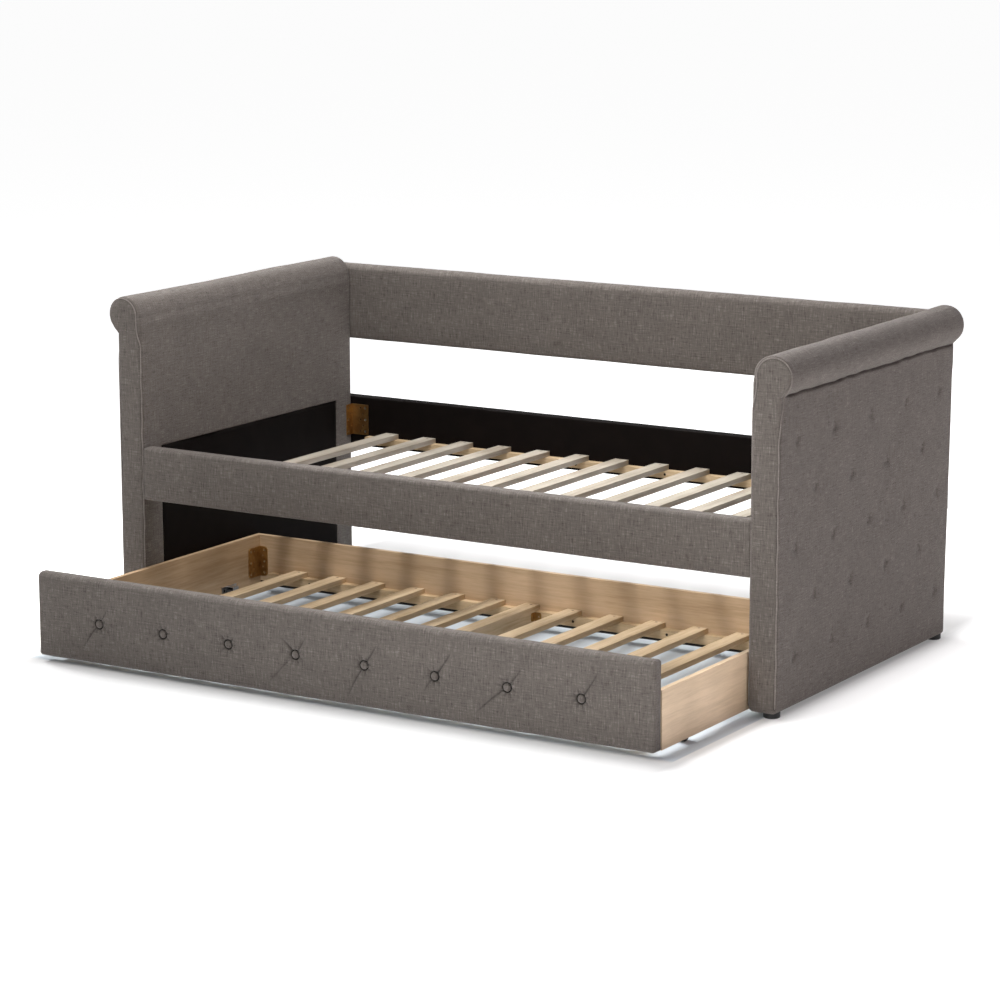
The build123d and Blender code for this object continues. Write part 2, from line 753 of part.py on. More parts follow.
# cross beam that stiffens the box under its middle slat
beam_y = (trundle_front_ledger_y[1], trundle_rear_ledger_y[0])
beam_side_x = middle_slat_x + beam_width / 2
beam_bottom_z = trundle_ledger_top_z - beam_height
with BuildPart() as trundle_centre_beam:
    block(
        (middle_slat_x - beam_width / 2, beam_side_x),
        beam_y,
        (beam_bottom_z, trundle_ledger_top_z),
    )
trundle_centre_beam.part.label = "trundle_centre_beam"
export_step(trundle_centre_beam.part, "parts/trundle_centre_beam.step")

# ---------------------------------------------------------------- trundle hardware
with BuildPart() as trundle_brackets:
    for corner, x_dir, y_dir in trundle_corners:
        corner_bracket(
            corner,
            x_dir,
            y_dir,
            trundle_bracket_end_leg,
            trundle_bracket_side_leg,
            trundle_bracket_height,
        )
        on_side = [spot for spot in trundle_bracket_side_screws if near(spot, corner)]
        spare_holes(on_side, (0, -y_dir * spare_hole_step, 0))
    for y, y_dir in ((beam_y[0], 1), (beam_y[1], -1)):
        corner_bracket(
            (beam_side_x, y, trundle_ledger_middle_z - beam_bracket_height / 2),
            1,
            y_dir,
            beam_bracket_leg,
            beam_bracket_leg,
            beam_bracket_height,
        )
    screws(trundle_bracket_end_screws + trundle_bracket_side_screws, bracket_screw_length, Mode.SUBTRACT)
trundle_brackets.part.label = "trundle_brackets"
export_step(trundle_brackets.part, "parts/trundle_brackets.step")

with BuildPart() as trundle_screws:
    screws(trundle_slat_screws, trundle_slat_screw_length)
    screws(trundle_front_ledger_screws, trundle_ledger_screw_length)
    screws(trundle_rear_ledger_screws, trundle_ledger_screw_length)
    screws(trundle_bracket_end_screws + trundle_bracket_side_screws, bracket_screw_length)
    screws(caster_screws, bracket_screw_length)
trundle_screws.part.label = "trundle_screws"
export_step(trundle_screws.part, "parts/trundle_screws.step")

# ---------------------------------------------------------------- rolling wheels
cheek_inner_x = wheel_x - wheel_width / 2 - wheel_side_gap
with BuildPart() as caster_frames:
    for side, y in caster_places.values():
        cheek_y = (y - caster_cheek_length / 2, y + caster_cheek_length / 2)
        plate_y = (y - caster_plate_length / 2, y + caster_plate_length / 2)
        plate_x = (side * trundle_inner_x, side * (trundle_inner_x - caster_metal))
        cheek_x = (side * cheek_inner_x, side * (cheek_inner_x - caster_metal))
        block(plate_x, plate_y, (caster_plate_bottom_z, caster_top_z))
        block(plate_x, cheek_y, (caster_cheek_bottom_z, caster_top_z))
        block(cheek_x, cheek_y, (caster_cheek_bottom_z, caster_top_z))
        block(
            (plate_x[0], cheek_x[1]),
            cheek_y,
            (caster_top_z - caster_metal, caster_top_z),
        )
        with BuildSketch(Plane.YZ.offset(plate_x[0])):
            with Locations((y, wheel_radius)):
                Circle(axle_radius)
        extrude(amount=cheek_x[1] - plate_x[0])
    screws(caster_screws, bracket_screw_length, Mode.SUBTRACT)
caster_frames.part.label = "caster_frames"
export_step(caster_frames.part, "parts/caster_frames.step")

for place, (side, y) in caster_places.items():
    with BuildPart() as wheel:
        with BuildSketch(Plane.YZ.offset(side * wheel_x - wheel_width / 2)):
            with Locations((y, wheel_radius)):
                Circle(wheel_radius)
        extrude(amount=wheel_width)
        fillet(wheel.edges().filter_by(GeomType.CIRCLE), wheel_round)
        with BuildSketch(Plane.YZ.offset(side * wheel_x - wheel_width / 2 - hub_proud)):
            with Locations((y, wheel_radius)):
                Circle(hub_radius)
        extrude(amount=wheel_width + 2 * hub_proud)
        with BuildSketch(Plane.YZ.offset(side * wheel_x - wheel_width / 2 - hub_proud)):
            with Locations((y, wheel_radius)):
                Circle(axle_radius + axle_clearance)
        extrude(amount=wheel_width + 2 * hub_proud, mode=Mode.SUBTRACT)
    wheel.part.label = f"{place}_wheel"
    export_step(wheel.part, f"parts/{place}_wheel.step")
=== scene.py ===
import math

import bmesh
import bpy
import numpy as np
from mathutils import Matrix, Vector


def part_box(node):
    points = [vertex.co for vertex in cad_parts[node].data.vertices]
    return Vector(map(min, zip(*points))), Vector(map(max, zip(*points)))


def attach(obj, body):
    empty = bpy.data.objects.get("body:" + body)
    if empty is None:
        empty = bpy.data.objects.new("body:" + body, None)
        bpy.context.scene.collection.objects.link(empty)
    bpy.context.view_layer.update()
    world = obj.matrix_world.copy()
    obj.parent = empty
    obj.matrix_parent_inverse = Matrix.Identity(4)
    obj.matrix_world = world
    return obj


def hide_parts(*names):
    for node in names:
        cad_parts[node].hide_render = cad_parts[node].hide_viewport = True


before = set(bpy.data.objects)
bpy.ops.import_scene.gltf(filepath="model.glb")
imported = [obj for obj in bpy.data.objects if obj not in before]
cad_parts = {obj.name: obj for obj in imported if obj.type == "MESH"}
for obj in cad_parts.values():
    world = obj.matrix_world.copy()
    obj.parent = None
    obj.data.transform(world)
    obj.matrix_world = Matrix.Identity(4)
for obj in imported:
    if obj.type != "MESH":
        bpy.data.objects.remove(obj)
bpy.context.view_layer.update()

# ------------------------ places, from the CAD nodes
SIDES = {"left": -1.0, "right": 1.0}  # the two arms, and which way along X each one lies
ARM_LO, ARM_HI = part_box("right_arm_cover")
FRONT_Y = ARM_LO.y
REAR_Y = ARM_HI.y
INNER_X = ARM_LO.x
ARM_BOTTOM = ARM_LO.z
ROLL_TOP = ARM_HI.z
WALL = 0.080  # thickness of an arm below its roll
LINING_LO, LINING_HI = (np.array(v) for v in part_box("arm_linings"))


# ------------------------ small helpers
def smooth(t):
    t = np.clip(t, 0.0, 1.0)
    return t * t * (3.0 - 2.0 * t)


def bump(d, width):
    """1 at d = 0, falling smoothly to 0 at |d| = width."""
    return smooth(1.0 - np.abs(d) / width)


def bell(d, width):
    """1 at d = 0, falling to 0.37 at |d| = width and on towards 0."""
    return np.exp(-((d / width) ** 2))


def lengths_along(path):
    """How far each point of a path lies from its first, along it."""
    return np.concatenate([[0], np.cumsum(np.linalg.norm(np.diff(path, axis=0), axis=1))])


def wave_noise(points, scale, seed):
    """Smooth three-dimensional noise, about -1 to 1, the same each run. scale is a wavelength."""
    rng = np.random.default_rng(seed)
    total = np.zeros(len(points))
    size = 1.0
    for _ in range(3):
        for _ in range(6):
            way = rng.normal(size=3)
            way /= np.linalg.norm(way)
            turn = 2 * np.pi * rng.random()
            total += size * np.sin(points @ way * (2 * np.pi / scale) + turn) / 3.5
        scale *= 0.53
        size *= 0.55
    return total


def spaced(stops, steps):
    """Values that run through the stops, with the given number of steps between each two."""
    out = [stops[0]]
    for a, b, n in zip(stops, stops[1:], steps):
        out += list(a + (b - a) * (np.arange(n) + 1) / n)
    return np.array(out)


def clustered(start, stop, places, reach, fine, coarse):
    """Values from start to stop, spaced fine within reach of the places and coarse elsewhere."""
    out = [start]
    while out[-1] < stop - 1e-9:
        near = any(abs(out[-1] + fine / 2 - p) < reach for p in places)
        gap = min([coarse] + [p - reach - out[-1] for p in places if p - reach > out[-1] + 1e-9])
        out.append(min(stop, out[-1] + (fine if near else max(gap, fine))))
    if len(out) > 2 and stop - out[-2] < fine / 3:
        out.pop(-2)
    return np.array(out)


def mesh_from(name, verts, faces, uvs=None, material=None, painted_shade=None):
    """A mesh object; uvs is one list of loop coordinates, in metres, for the weave.

    painted_shade is how deep in a fold each vertex lies, from 0 to 1: a painted shade that darkens the
    cloth there.
    """
    mesh = bpy.data.meshes.new(name)
    mesh.from_pydata([tuple(v) for v in verts], [], faces)
    if uvs is not None:
        layer = mesh.uv_layers.new(name="weave")
        layer.data.foreach_set("uv", np.asarray(uvs, np.float32).ravel())
    if painted_shade is not None:
        # painted shade, kept on the mesh for the material to darken the cloth's folds
        folds = mesh.attributes.new("painted_shade", "FLOAT", "POINT")
        folds.data.foreach_set("value", np.clip(painted_shade, 0, 1).astype(np.float32))
    mesh.validate()
    obj = bpy.data.objects.new(name, mesh)
    bpy.context.scene.collection.objects.link(obj)
    if material:
        mesh.materials.append(material)
    return obj


def arc(cx, cy, r, start, end, n):
    """n points on an arc from start to end, in degrees, without its last point."""
    t = np.radians(start + (end - start) * np.arange(n) / n)
    return np.stack([cx + r * np.cos(t), cy + r * np.sin(t)], 1)


def line(a, b, n):
    """n points from a towards b, without b."""
    t = (np.arange(n) / n)[:, None]
    return np.array(a) * (1 - t) + np.array(b) * t


EDGE_TURNS = [math.radians(a) for a in (0, 18, 36, 54, 72)]


def rounded_end(r):
    """The stations (position, inset) of an end's rounded edge, from the end's face on."""
    return [(r * (1 - math.cos(t)), r * (1 - math.sin(t))) for t in EDGE_TURNS]


def sweep(profile, spine, stations, cap, place):
    """A closed solid: a profile swept along stations, with capped ends.

    profile and spine are N x 2: each outline point and the point of the middle line it shrinks
    to. stations is a list of (position, inset). cap lists how far each ring that closes an end
    has shrunk, from 0 to 1. place turns (a, b, position) into points of the scene. Returns the
    vertices, quads and loop coordinates, and the vertices' own (a, b, position).
    """
    away = spine - profile
    reach = np.linalg.norm(away, axis=1)
    unit = away / reach[:, None]
    n = len(profile)
    rings = []
    for share in reversed(cap):
        inset = stations[0][1] + share * (reach - stations[0][1])
        rings.append((profile + unit * inset[:, None], stations[0][0], "cap"))
    for s, inset in stations:
        rings.append((profile + unit * np.minimum(inset, reach)[:, None], s, "side"))
    for share in cap:
        inset = stations[-1][1] + share * (reach - stations[-1][1])
        rings.append((profile + unit * inset[:, None], stations[-1][0], "cap"))
    flat = np.concatenate([np.column_stack([r[0], np.full(n, r[1])]) for r in rings])
    around = lengths_along(np.vstack([profile, profile[:1]]))
    faces, uvs = [], []
    for k in range(len(rings) - 1):
        capped = "cap" in (rings[k][2], rings[k + 1][2])
        for i in range(n):
            j = (i + 1) % n
            a, b, c, d = k * n + i, k * n + j, (k + 1) * n + j, (k + 1) * n + i
            faces.append((a, b, c, d))
            if capped:
                uvs += [tuple(flat[v][:2]) for v in (a, b, c, d)]
            else:
                us = (around[i], around[i + 1], around[i + 1], around[i])
                uvs += [(u, flat[v][2]) for u, v in zip(us, (a, b, c, d))]
    return place(flat), faces, uvs, flat


def normals_of(verts, faces):
    """Vertex normals of a quad mesh."""
    f = np.array(faces)
    p = verts[f]
    n = np.cross(p[:, 2] - p[:, 0], p[:, 3] - p[:, 1])
    out = np.zeros_like(verts)
    for k in range(4):
        np.add.at(out, f[:, k], n)
    length = np.linalg.norm(out, axis=1)
    length[length < 1e-12] = 1
    return out / length[:, None]


def clean(obj, merge=0.0002):
    """Closes the ends' middle lines, turns every face outward and shades it smoothly."""
    bm = bmesh.new()
    bm.from_mesh(obj.data)
    bmesh.ops.remove_doubles(bm, verts=bm.verts, dist=merge)
    bmesh.ops.dissolve_degenerate(bm, dist=merge / 4, edges=bm.edges)
    bmesh.ops.recalc_face_normals(bm, faces=bm.faces)
    bm.to_mesh(obj.data)
    bm.free()
    obj.data.polygons.foreach_set("use_smooth", [True] * len(obj.data.polygons))
    return obj


def tube(name, path, radius, material):
    """The thin round welt of a seam, with tapered, capped ends."""
    sides = 8
    end_taper = 0.3
    ahead = np.roll(path, -1, 0) - np.roll(path, 1, 0)
    ahead[0] = path[1] - path[0]
    ahead[-1] = path[-1] - path[-2]
    ahead /= np.linalg.norm(ahead, axis=1)[:, None]
    up = np.zeros_like(ahead)
    last = np.array([0.31, 0.52, 0.8])
    for i, t in enumerate(ahead):
        last = last - t * (last @ t)
        last /= np.linalg.norm(last)
        up[i] = last
    side = np.cross(ahead, up)
    n = len(path)
    r = np.full(n, radius)
    r[0] = r[-1] = radius * end_taper
    verts, faces, uvs = [], [], []
    run = lengths_along(path)
    for i in range(n):
        for k in range(sides):
            t = 2 * math.pi * k / sides
            verts.append(path[i] + r[i] * (math.cos(t) * up[i] + math.sin(t) * side[i]))
    for i in range(n - 1):
        for k in range(sides):
            a, b = i * sides + k, i * sides + (k + 1) % sides
            faces.append((a, b, b + sides, a + sides))
            w0, w1 = radius * 6.28 * k / sides, radius * 6.28 * (k + 1) / sides
            uvs += [(w0, run[i]), (w1, run[i]), (w1, run[i + 1]), (w0, run[i + 1])]
    faces.append(tuple(range(sides)))
    faces.append(tuple((n - 1) * sides + k for k in reversed(range(sides))))
    for ring in (0, n - 1):
        uvs += [(k * 0.001, ring * 0.001) for k in range(sides)]
    return clean(mesh_from(name, verts, faces, uvs, material), 0.00001)


# ------------------------ materials
class Graph:
    """Short names for adding and joining shader nodes."""

    def __init__(self, tree):
        self.tree = tree

    def new(self, kind):
        return self.tree.nodes.new("ShaderNode" + kind)

    def put(self, socket, value):
        if isinstance(value, bpy.types.NodeSocket):
            self.tree.links.new(value, socket)
        else:
            socket.default_value = value

    def join(self, node, sockets):
        """Links or sets the given sockets of a node, each by its name or number."""
        for key, value in sockets.items():
            self.put(node.inputs[key], value)

    def math(self, how, a, b=0.0):
        node = self.new("Math")
        node.operation = how
        self.join(node, {0: a, 1: b})
        return node.outputs[0]

    def blend(self, a, share_a, b, share_b):
        return self.math("ADD", self.math("MULTIPLY", a, share_a), self.math("MULTIPLY", b, share_b))

    def scaled(self, vector, x, y, z):
        node = self.new("VectorMath")
        node.operation = "MULTIPLY"
        self.join(node, {0: vector, 1: (x, y, z)})
        return node.outputs[0]

    def noise(self, vector, scale, detail, rough, distortion=0.0):
        node = self.new("TexNoise")
        self.join(node, {"Vector": vector, "Scale": scale, "Detail": detail})
        self.join(node, {"Roughness": rough, "Distortion": distortion})
        return node.outputs["Fac"]

    def ramp(self, value, stops):
        node = self.new("ValToRGB")
        while len(node.color_ramp.elements) < len(stops):
            node.color_ramp.elements.new(0.5)
        for element, (place, colour) in zip(node.color_ramp.elements, stops):
            element.position = place
            element.color = (*colour, 1.0)
        self.put(node.inputs[0], value)
        return node.outputs[0]

    def range(self, value, low, high, to_low, to_high):
        node = self.new("MapRange")
        self.join(node, {0: value, 1: low, 2: high, 3: to_low, 4: to_high})
        return node.outputs[0]

    def mix(self, factor, a, b, how="MIX"):
        node = self.new("Mix")
        node.data_type = "RGBA"
        node.blend_type = how
        a, b = ((*v, 1.0) if isinstance(v, tuple) else v for v in (a, b))
        self.join(node, {"Factor": factor, 6: a, 7: b})
        return node.outputs[2]

    def times(self, colour, red, green, blue):
        """The colour with each channel multiplied by a socket of its own."""
        shade = self.new("CombineColor")
        self.join(shade, {0: red, 1: green, 2: blue})
        return self.mix(1.0, colour, shade.outputs[0], "MULTIPLY")

    def bump(self, height, strength, distance):
        node = self.new("Bump")
        self.join(node, {"Strength": strength, "Distance": distance, "Height": height})
        return node.outputs[0]

    def here(self):
        """The object's own coordinates."""
        return self.new("TexCoord").outputs["Object"]


def nodes_for(name):
    """A new material with its graph and its Principled shader."""
    mat = bpy.data.materials.new(name)
    mat.use_nodes = True
    tree = mat.node_tree
    tree.nodes.clear()
    out = tree.nodes.new("ShaderNodeOutputMaterial")
    shader = tree.nodes.new("ShaderNodeBsdfPrincipled")
    tree.links.new(shader.outputs["BSDF"], out.inputs["Surface"])
    return mat, Graph(tree), shader


def linen(name, dark, mid, light, sheen=0.10):
    """A plain weave of uneven melange threads, laid along the weave coordinates."""
    mat, g, shader = nodes_for(name)
    weave_map = g.new("UVMap")
    weave_map.uv_map = "weave"
    uv = weave_map.outputs[0]
    # slubs: thick and thin streaks along both thread ways, each a few millimetres wide
    warp = g.noise(g.scaled(uv, 1.0, 0.10, 1.0), 275, 2, 0.6)
    weft = g.noise(g.scaled(uv, 0.10, 1.0, 1.0), 260, 2, 0.6)
    fine_warp = g.noise(g.scaled(uv, 1.0, 0.12, 1.0), 620, 2, 0.6)
    fine_weft = g.noise(g.scaled(uv, 0.12, 1.0, 1.0), 590, 2, 0.6)
    slubs = g.blend(warp, 0.56, weft, 0.44)
    fines = g.blend(fine_warp, 0.5, fine_weft, 0.5)
    heather = g.blend(slubs, 0.68, fines, 0.32)
    colour = g.ramp(heather, [(0.365, dark), (0.475, mid), (0.525, mid), (0.645, light)])
    patch = g.range(g.noise(uv, 12, 3, 0.55), 0.3, 0.7, 0.94, 1.06)
    colour = g.times(colour, patch, patch, patch)
    # painted shade: the cloth is darkened towards a sixth of its dark thread where painted_shade marks
    # folds, button rings, seams and pleats
    folds = g.new("Attribute")
    folds.attribute_name = "painted_shade"
    colour = g.mix(folds.outputs["Fac"], colour, tuple(0.16 * c for c in dark))
    weave = g.new("TexChecker")
    g.join(weave, {"Vector": uv, "Scale": 900.0})
    height = g.blend(weave.outputs["Fac"], 0.25, heather, 1.5)
    g.join(shader, {
        "Base Color": colour,
        "Normal": g.bump(height, 0.6, 0.0016),
        "Roughness": g.range(heather, 0.3, 0.7, 0.98, 0.84),
        "Specular IOR Level": 0.2,
        "Sheen Weight": sheen,
        "Sheen Roughness": 0.45,
        "Sheen Tint": (0.9, 0.87, 0.84, 1.0),
    })
    return mat


def black_cloth(name):
    """The thin, nearly black cloth of the dust cloths and the rear rail."""
    mat, g, shader = nodes_for(name)
    place = g.here()
    fibre = g.noise(place, 900, 2, 0.6)
    tone = g.blend(fibre, 0.6, g.noise(place, 22, 2, 0.5), 0.4)
    g.join(shader, {
        "Base Color": g.ramp(tone, [(0.35, (0.0022, 0.0012, 0.0009)), (0.65, (0.006, 0.0034, 0.0027))]),
        "Roughness": g.range(fibre, 0.3, 0.7, 0.8, 0.95),
        "Normal": g.bump(fibre, 0.5, 0.0006),
        "Specular IOR Level": 0.12,
    })
    return mat


def pine(name, pale, mid, deep, way, band=1.0, gloss=0.55, painted_shadow_below=None):
    """Wood whose grain runs along X or Y; below the height painted_shadow_below it is painted nearly
    black, a painted shade for the deep shadow under a ledger.
    """
    mat, g, shader = nodes_for(name)
    place = g.here()

    def along(squeeze):
        return g.scaled(place, *((squeeze, 1.0, 1.0) if way == "X" else (1.0, squeeze, 1.0)))

    run = along(0.055)
    rings = g.noise(run, 34 * band, 3, 0.55, 0.6)
    streak = g.noise(run, 210, 3, 0.65)
    pores = g.noise(along(0.02), 900, 2, 0.6)
    colour = g.ramp(g.blend(rings, 0.6, streak, 0.4), [(0.34, deep), (0.5, mid), (0.66, pale)])
    colour = g.mix(g.range(pores, 0.36, 0.44, 0.35, 0.0), colour, deep)
    tone = g.range(g.noise(place, 5.2, 1, 0.5), 0.3, 0.7, 0.86, 1.12)
    colour = g.times(colour, tone, g.math("POWER", tone, 1.06), g.math("POWER", tone, 1.2))
    # painted shade: nearly black below that height
    if painted_shadow_below is not None:
        height = g.new("SeparateXYZ")
        g.put(height.inputs[0], place)
        blur = 0.0006
        low = g.range(height.outputs["Z"], painted_shadow_below - blur, painted_shadow_below + blur, 1.0, 0.0)
        colour = g.mix(low, colour, (0.012, 0.009, 0.007))
    g.join(shader, {
        "Base Color": colour,
        "Roughness": g.range(streak, 0.3, 0.7, gloss + 0.12, gloss - 0.06),
        "Normal": g.bump(g.math("ADD", streak, pores), 0.25, 0.0004),
        "Specular IOR Level": 0.3,
    })
    return mat


def metal(name, dark, light, rough, scale=60, metallic=1.0):
    """Plated or blackened steel, cloudy and finely scratched."""
    mat, g, shader = nodes_for(name)
    place = g.here()
    scratch = g.noise(g.scaled(place, 1.0, 0.15, 1.0), 800, 2, 0.6)
    g.join(shader, {
        "Base Color": g.ramp(g.noise(place, scale, 4, 0.6), [(0.35, dark), (0.62, light)]),
        "Roughness": g.range(scratch, 0.3, 0.7, *rough),
        "Normal": g.bump(scratch, 0.2, 0.0003),
        "Metallic": metallic,
    })
    return mat


def plastic(name, dark, light, rough=0.5):
    """Moulded plastic or rubber with a fine grain."""
    mat, g, shader = nodes_for(name)
    place = g.here()
    grain = g.noise(place, 700, 2, 0.6)
    g.join(shader, {
        "Base Color": g.ramp(g.noise(place, 40, 2, 0.5), [(0.35, dark), (0.65, light)]),
        "Roughness": g.range(grain, 0.3, 0.7, rough - 0.08, rough + 0.1),
        "Normal": g.bump(grain, 0.2, 0.0003),
    })
    return mat


# linen: dark, middle and light threads; wood: pale, middle and deep grain, then its way
FABRIC = linen(
    "grey_linen", (0.065, 0.0540, 0.0478), (0.1345, 0.1162, 0.1040), (0.238, 0.213, 0.195), 0.21
)
# painted highlight: the welt's linen is painted lighter than the cover's, for the light line the piping
# catches
WELT_HIGHLIGHT = linen(
    "grey_linen_welt_highlight", (0.125, 0.106, 0.096), (0.225, 0.197, 0.180), (0.350, 0.314, 0.292)
)
CLOTH = black_cloth("black_cloth")
SLAT_PINE = pine(
    "bed_slat_pine", (0.530, 0.483, 0.408), (0.463, 0.410, 0.336), (0.353, 0.287, 0.218), "Y"
)
TRUNDLE_SLAT_PINE = pine(
    "trundle_slat_pine", (0.65, 0.51, 0.345), (0.565, 0.425, 0.27), (0.42, 0.297, 0.172), "Y"
)
# painted shade: the back board is painted nearly black below 0.0312 m, for the deep shadow under its
# ledger
BOARD_PINE = pine(
    "trundle_board_pine", (0.62, 0.455, 0.30), (0.555, 0.395, 0.25), (0.43, 0.295, 0.175),
    "X", 0.8, 0.42, 0.0312,
)
# painted shade: the left side board is painted darker than the right side's pine, for the shadow that
# the bed's front rail casts on it
SHADED_LEFT_SIDE_PINE = pine(
    "trundle_left_side_pine_shaded", (0.54, 0.385, 0.24), (0.475, 0.33, 0.20), (0.38, 0.25, 0.14),
    "Y", 0.8, 0.42,
)
SIDE_PINE = pine(
    "trundle_side_pine", (0.78, 0.60, 0.42), (0.70, 0.53, 0.36), (0.58, 0.43, 0.28), "Y", 0.8, 0.42
)
LEDGER_PINE = pine("ledger_pine", (0.68, 0.51, 0.325), (0.58, 0.42, 0.25), (0.44, 0.30, 0.165), "X")
CORE_PINE = pine("hidden_pine", (0.60, 0.48, 0.34), (0.52, 0.40, 0.27), (0.40, 0.29, 0.18), "X")
BRASS = metal("yellow_plated_steel", (0.30, 0.165, 0.060), (0.52, 0.325, 0.125), (0.30, 0.50), 25)
SCREW = metal("screw_steel", (0.45, 0.38, 0.26), (0.85, 0.78, 0.62), (0.18, 0.35))
DARK_SCREW = metal("dark_screw_steel", (0.02, 0.015, 0.012), (0.06, 0.045, 0.035), (0.4, 0.6))
SLAT_SCREW = metal(
    "slat_screw_steel", (0.12, 0.065, 0.035), (0.24, 0.14, 0.08), (0.4, 0.6), metallic=0.5
)
ZINC = metal("zinc_steel", (0.42, 0.42, 0.43), (0.66, 0.66, 0.67), (0.25, 0.45))
BLACK_BOLT = metal("black_bolt", (0.012, 0.012, 0.012), (0.05, 0.05, 0.05), (0.35, 0.55), metallic=0.6)
GLIDE = plastic("glide_plastic", (0.008, 0.008, 0.008), (0.02, 0.02, 0.02))
RUBBER = plastic("wheel_rubber", (0.012, 0.012, 0.013), (0.03, 0.03, 0.032), 0.6)

# ------------------------ the arms
# Outline of an arm, seen from the front: o is how far a point lies outward of the inner face.
ROLL_R = 0.0530
ROLL_O = 0.0560  # the roll's middle
ROLL_Z = ROLL_TOP - ROLL_R
ROLL_FROM_Z = 0.868  # where the inner face starts to turn into the roll
ROLL_END = -48  # degrees at which the roll ends above the crease
CREASE_Z = 0.8350
CREASE_O = 0.0795
LIP_O = 0.0835  # the fabric between the roll and the crease
LIP_Z = CREASE_Z + 0.0042
WALL_TOP = CREASE_Z - 0.008  # where the flat outer face starts below the crease
CORNER = 0.010  # rounding of the arm's lower edges
FRONT_R = 0.009  # rounding of the edges of the arm's front
REAR_R = 0.014  # rounding of the edges of the arm's rear
FINE, COARSE = 0.0026, 0.010  # mesh steps near a button and away from one


def arm_outline(tuft_z):
    """The outline and, for each point, the middle-line point it shrinks to."""
    bottom = ARM_BOTTOM
    c = CORNER
    inner_stops = [bottom + c, 0.10, 0.495, 0.520, 0.82, ROLL_FROM_Z]
    inner = spaced(inner_stops, [8, 32, 12, 24, 6])[:-1]
    outer = clustered(bottom + c, WALL_TOP, tuft_z, 0.024, FINE, COARSE)[:0:-1]
    turn = math.radians(ROLL_END)
    roll_end = (ROLL_O + ROLL_R * math.cos(turn), ROLL_Z + ROLL_R * math.sin(turn))
    profile = np.concatenate([
        arc(c, bottom + c, c, 270, 180, 5),
        np.stack([np.zeros(len(inner)), inner], 1),
        line((0.0, ROLL_FROM_Z), (ROLL_O - ROLL_R, ROLL_Z), 3),
        arc(ROLL_O, ROLL_Z, ROLL_R, 180, ROLL_END, 68),
        line(roll_end, (LIP_O, LIP_Z), 5),
        line((LIP_O, LIP_Z), (CREASE_O, CREASE_Z), 5),
        line((CREASE_O, CREASE_Z), (WALL, WALL_TOP), 7),
        np.stack([np.full(len(outer), WALL), outer], 1),
        arc(WALL - c, bottom + c, c, 0, -90, 5),
        line((WALL - c, bottom), (c, bottom), 6),
    ])
    lift = smooth((profile[:, 1] - 0.80) / (ROLL_Z - 0.80))
    middle = WALL / 2 + (ROLL_O - WALL / 2) * lift
    spine = np.stack([middle, np.clip(profile[:, 1], bottom + WALL / 2, ROLL_Z)], 1)
    return profile, spine


def on_surface(path):
    """Moves the points of a path (o, z, depth behind the front) onto the arm's rounded front."""
    profile, spine = arm_outline([0.7])
    inward = spine - profile
    inward /= np.linalg.norm(inward, axis=1)[:, None]
    gaps = np.linalg.norm(path[:, None, :2] - profile[None], axis=2)
    nearest = gaps.argmin(1)
    rim, way = profile[nearest], inward[nearest]
    deep = np.clip(((path[:, :2] - rim) * way).sum(1), 0.0, FRONT_R)
    back = FRONT_R - np.sqrt(FRONT_R ** 2 - (FRONT_R - deep) ** 2)
    out = path.copy()
    on_front = path[:, 2] < FRONT_R
    out[on_front, 2] = back[on_front]
    out[~on_front, :2] = rim[~on_front]
    for _ in range(3):
        out[1:-1] = (out[:-2] + out[1:-1] * 2 + out[2:]) / 4
    return out


def seam_path(side):
    """Where the arm's front strip is sewn to the sides: points (o, z, depth behind the front)."""
    inner = [(0.002, z, 0.0035) for z in np.linspace(0.030, 0.800, 60)]
    rise = [(0.004, 0.815, 0.002), (0.0085, 0.830, 0.0), (0.012, 0.846, -0.001)]
    ring_o, ring_z, ring_r = 0.061, 0.8875, 0.0478
    ring = []
    for turn in np.radians(np.linspace(192, 0, 46)):
        o = ring_o + ring_r * math.cos(turn)
        ring.append((o, ring_z + ring_r * math.sin(turn), max(0.0, o - 0.075) * 0.16 - 0.001))
    fall = [
        (0.1075, 0.872, 0.0065), (0.1025, 0.861, 0.0095), (0.0955, 0.851, 0.0130),
        (0.0875, 0.842, 0.0160), (0.0815, 0.833, 0.0185), (0.0800, 0.822, 0.0185),
        (0.0800, 0.808, 0.0150), (0.0800, 0.790, 0.0105), (0.0797, 0.770, 0.0065),
        (0.0785, 0.745, 0.0030),
    ]
    outer = [(0.0770, z, 0.0005) for z in np.linspace(0.715, 0.030, 56)]
    path = np.array(inner + rise + ring + fall + outer)
    far = lengths_along(path)
    steps = np.linspace(0, far[-1], 460)
    path = np.stack([np.interp(steps, far, path[:, k]) for k in range(3)], 1)
    start = 1.1 if side == "left" else 4.2
    hand = np.sin(steps * 61 + start) * np.sin(steps * 23 + 2 * start)
    path[:, 0] += 0.0008 * hand * (path[:, 1] < 0.82)
    path[:, 2] += 0.0007 * np.sin(steps * 47 + 3 * start) * (path[:, 1] < 0.82)
    return on_surface(path)


def tuft_places(side):
    """The (y, z) of the buttons on an arm's outer face, read from the CAD node."""
    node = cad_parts["arm_buttons"]
    co = np.array([v.co for v in node.data.vertices], float)
    co = co[co[:, 0] * SIDES[side] > 0]
    apart = 0.03  # more than a button's width and less than the way to the next
    spots = []
    for y, z in co[:, 1:]:
        if not any((y - a) ** 2 + (z - b) ** 2 < apart ** 2 for a, b in spots):
            near = co[(co[:, 1] - y) ** 2 + (co[:, 2] - z) ** 2 < apart ** 2]
            spots.append(tuple((near[:, 1:].max(0) + near[:, 1:].min(0)) / 2))
    return np.array(spots)


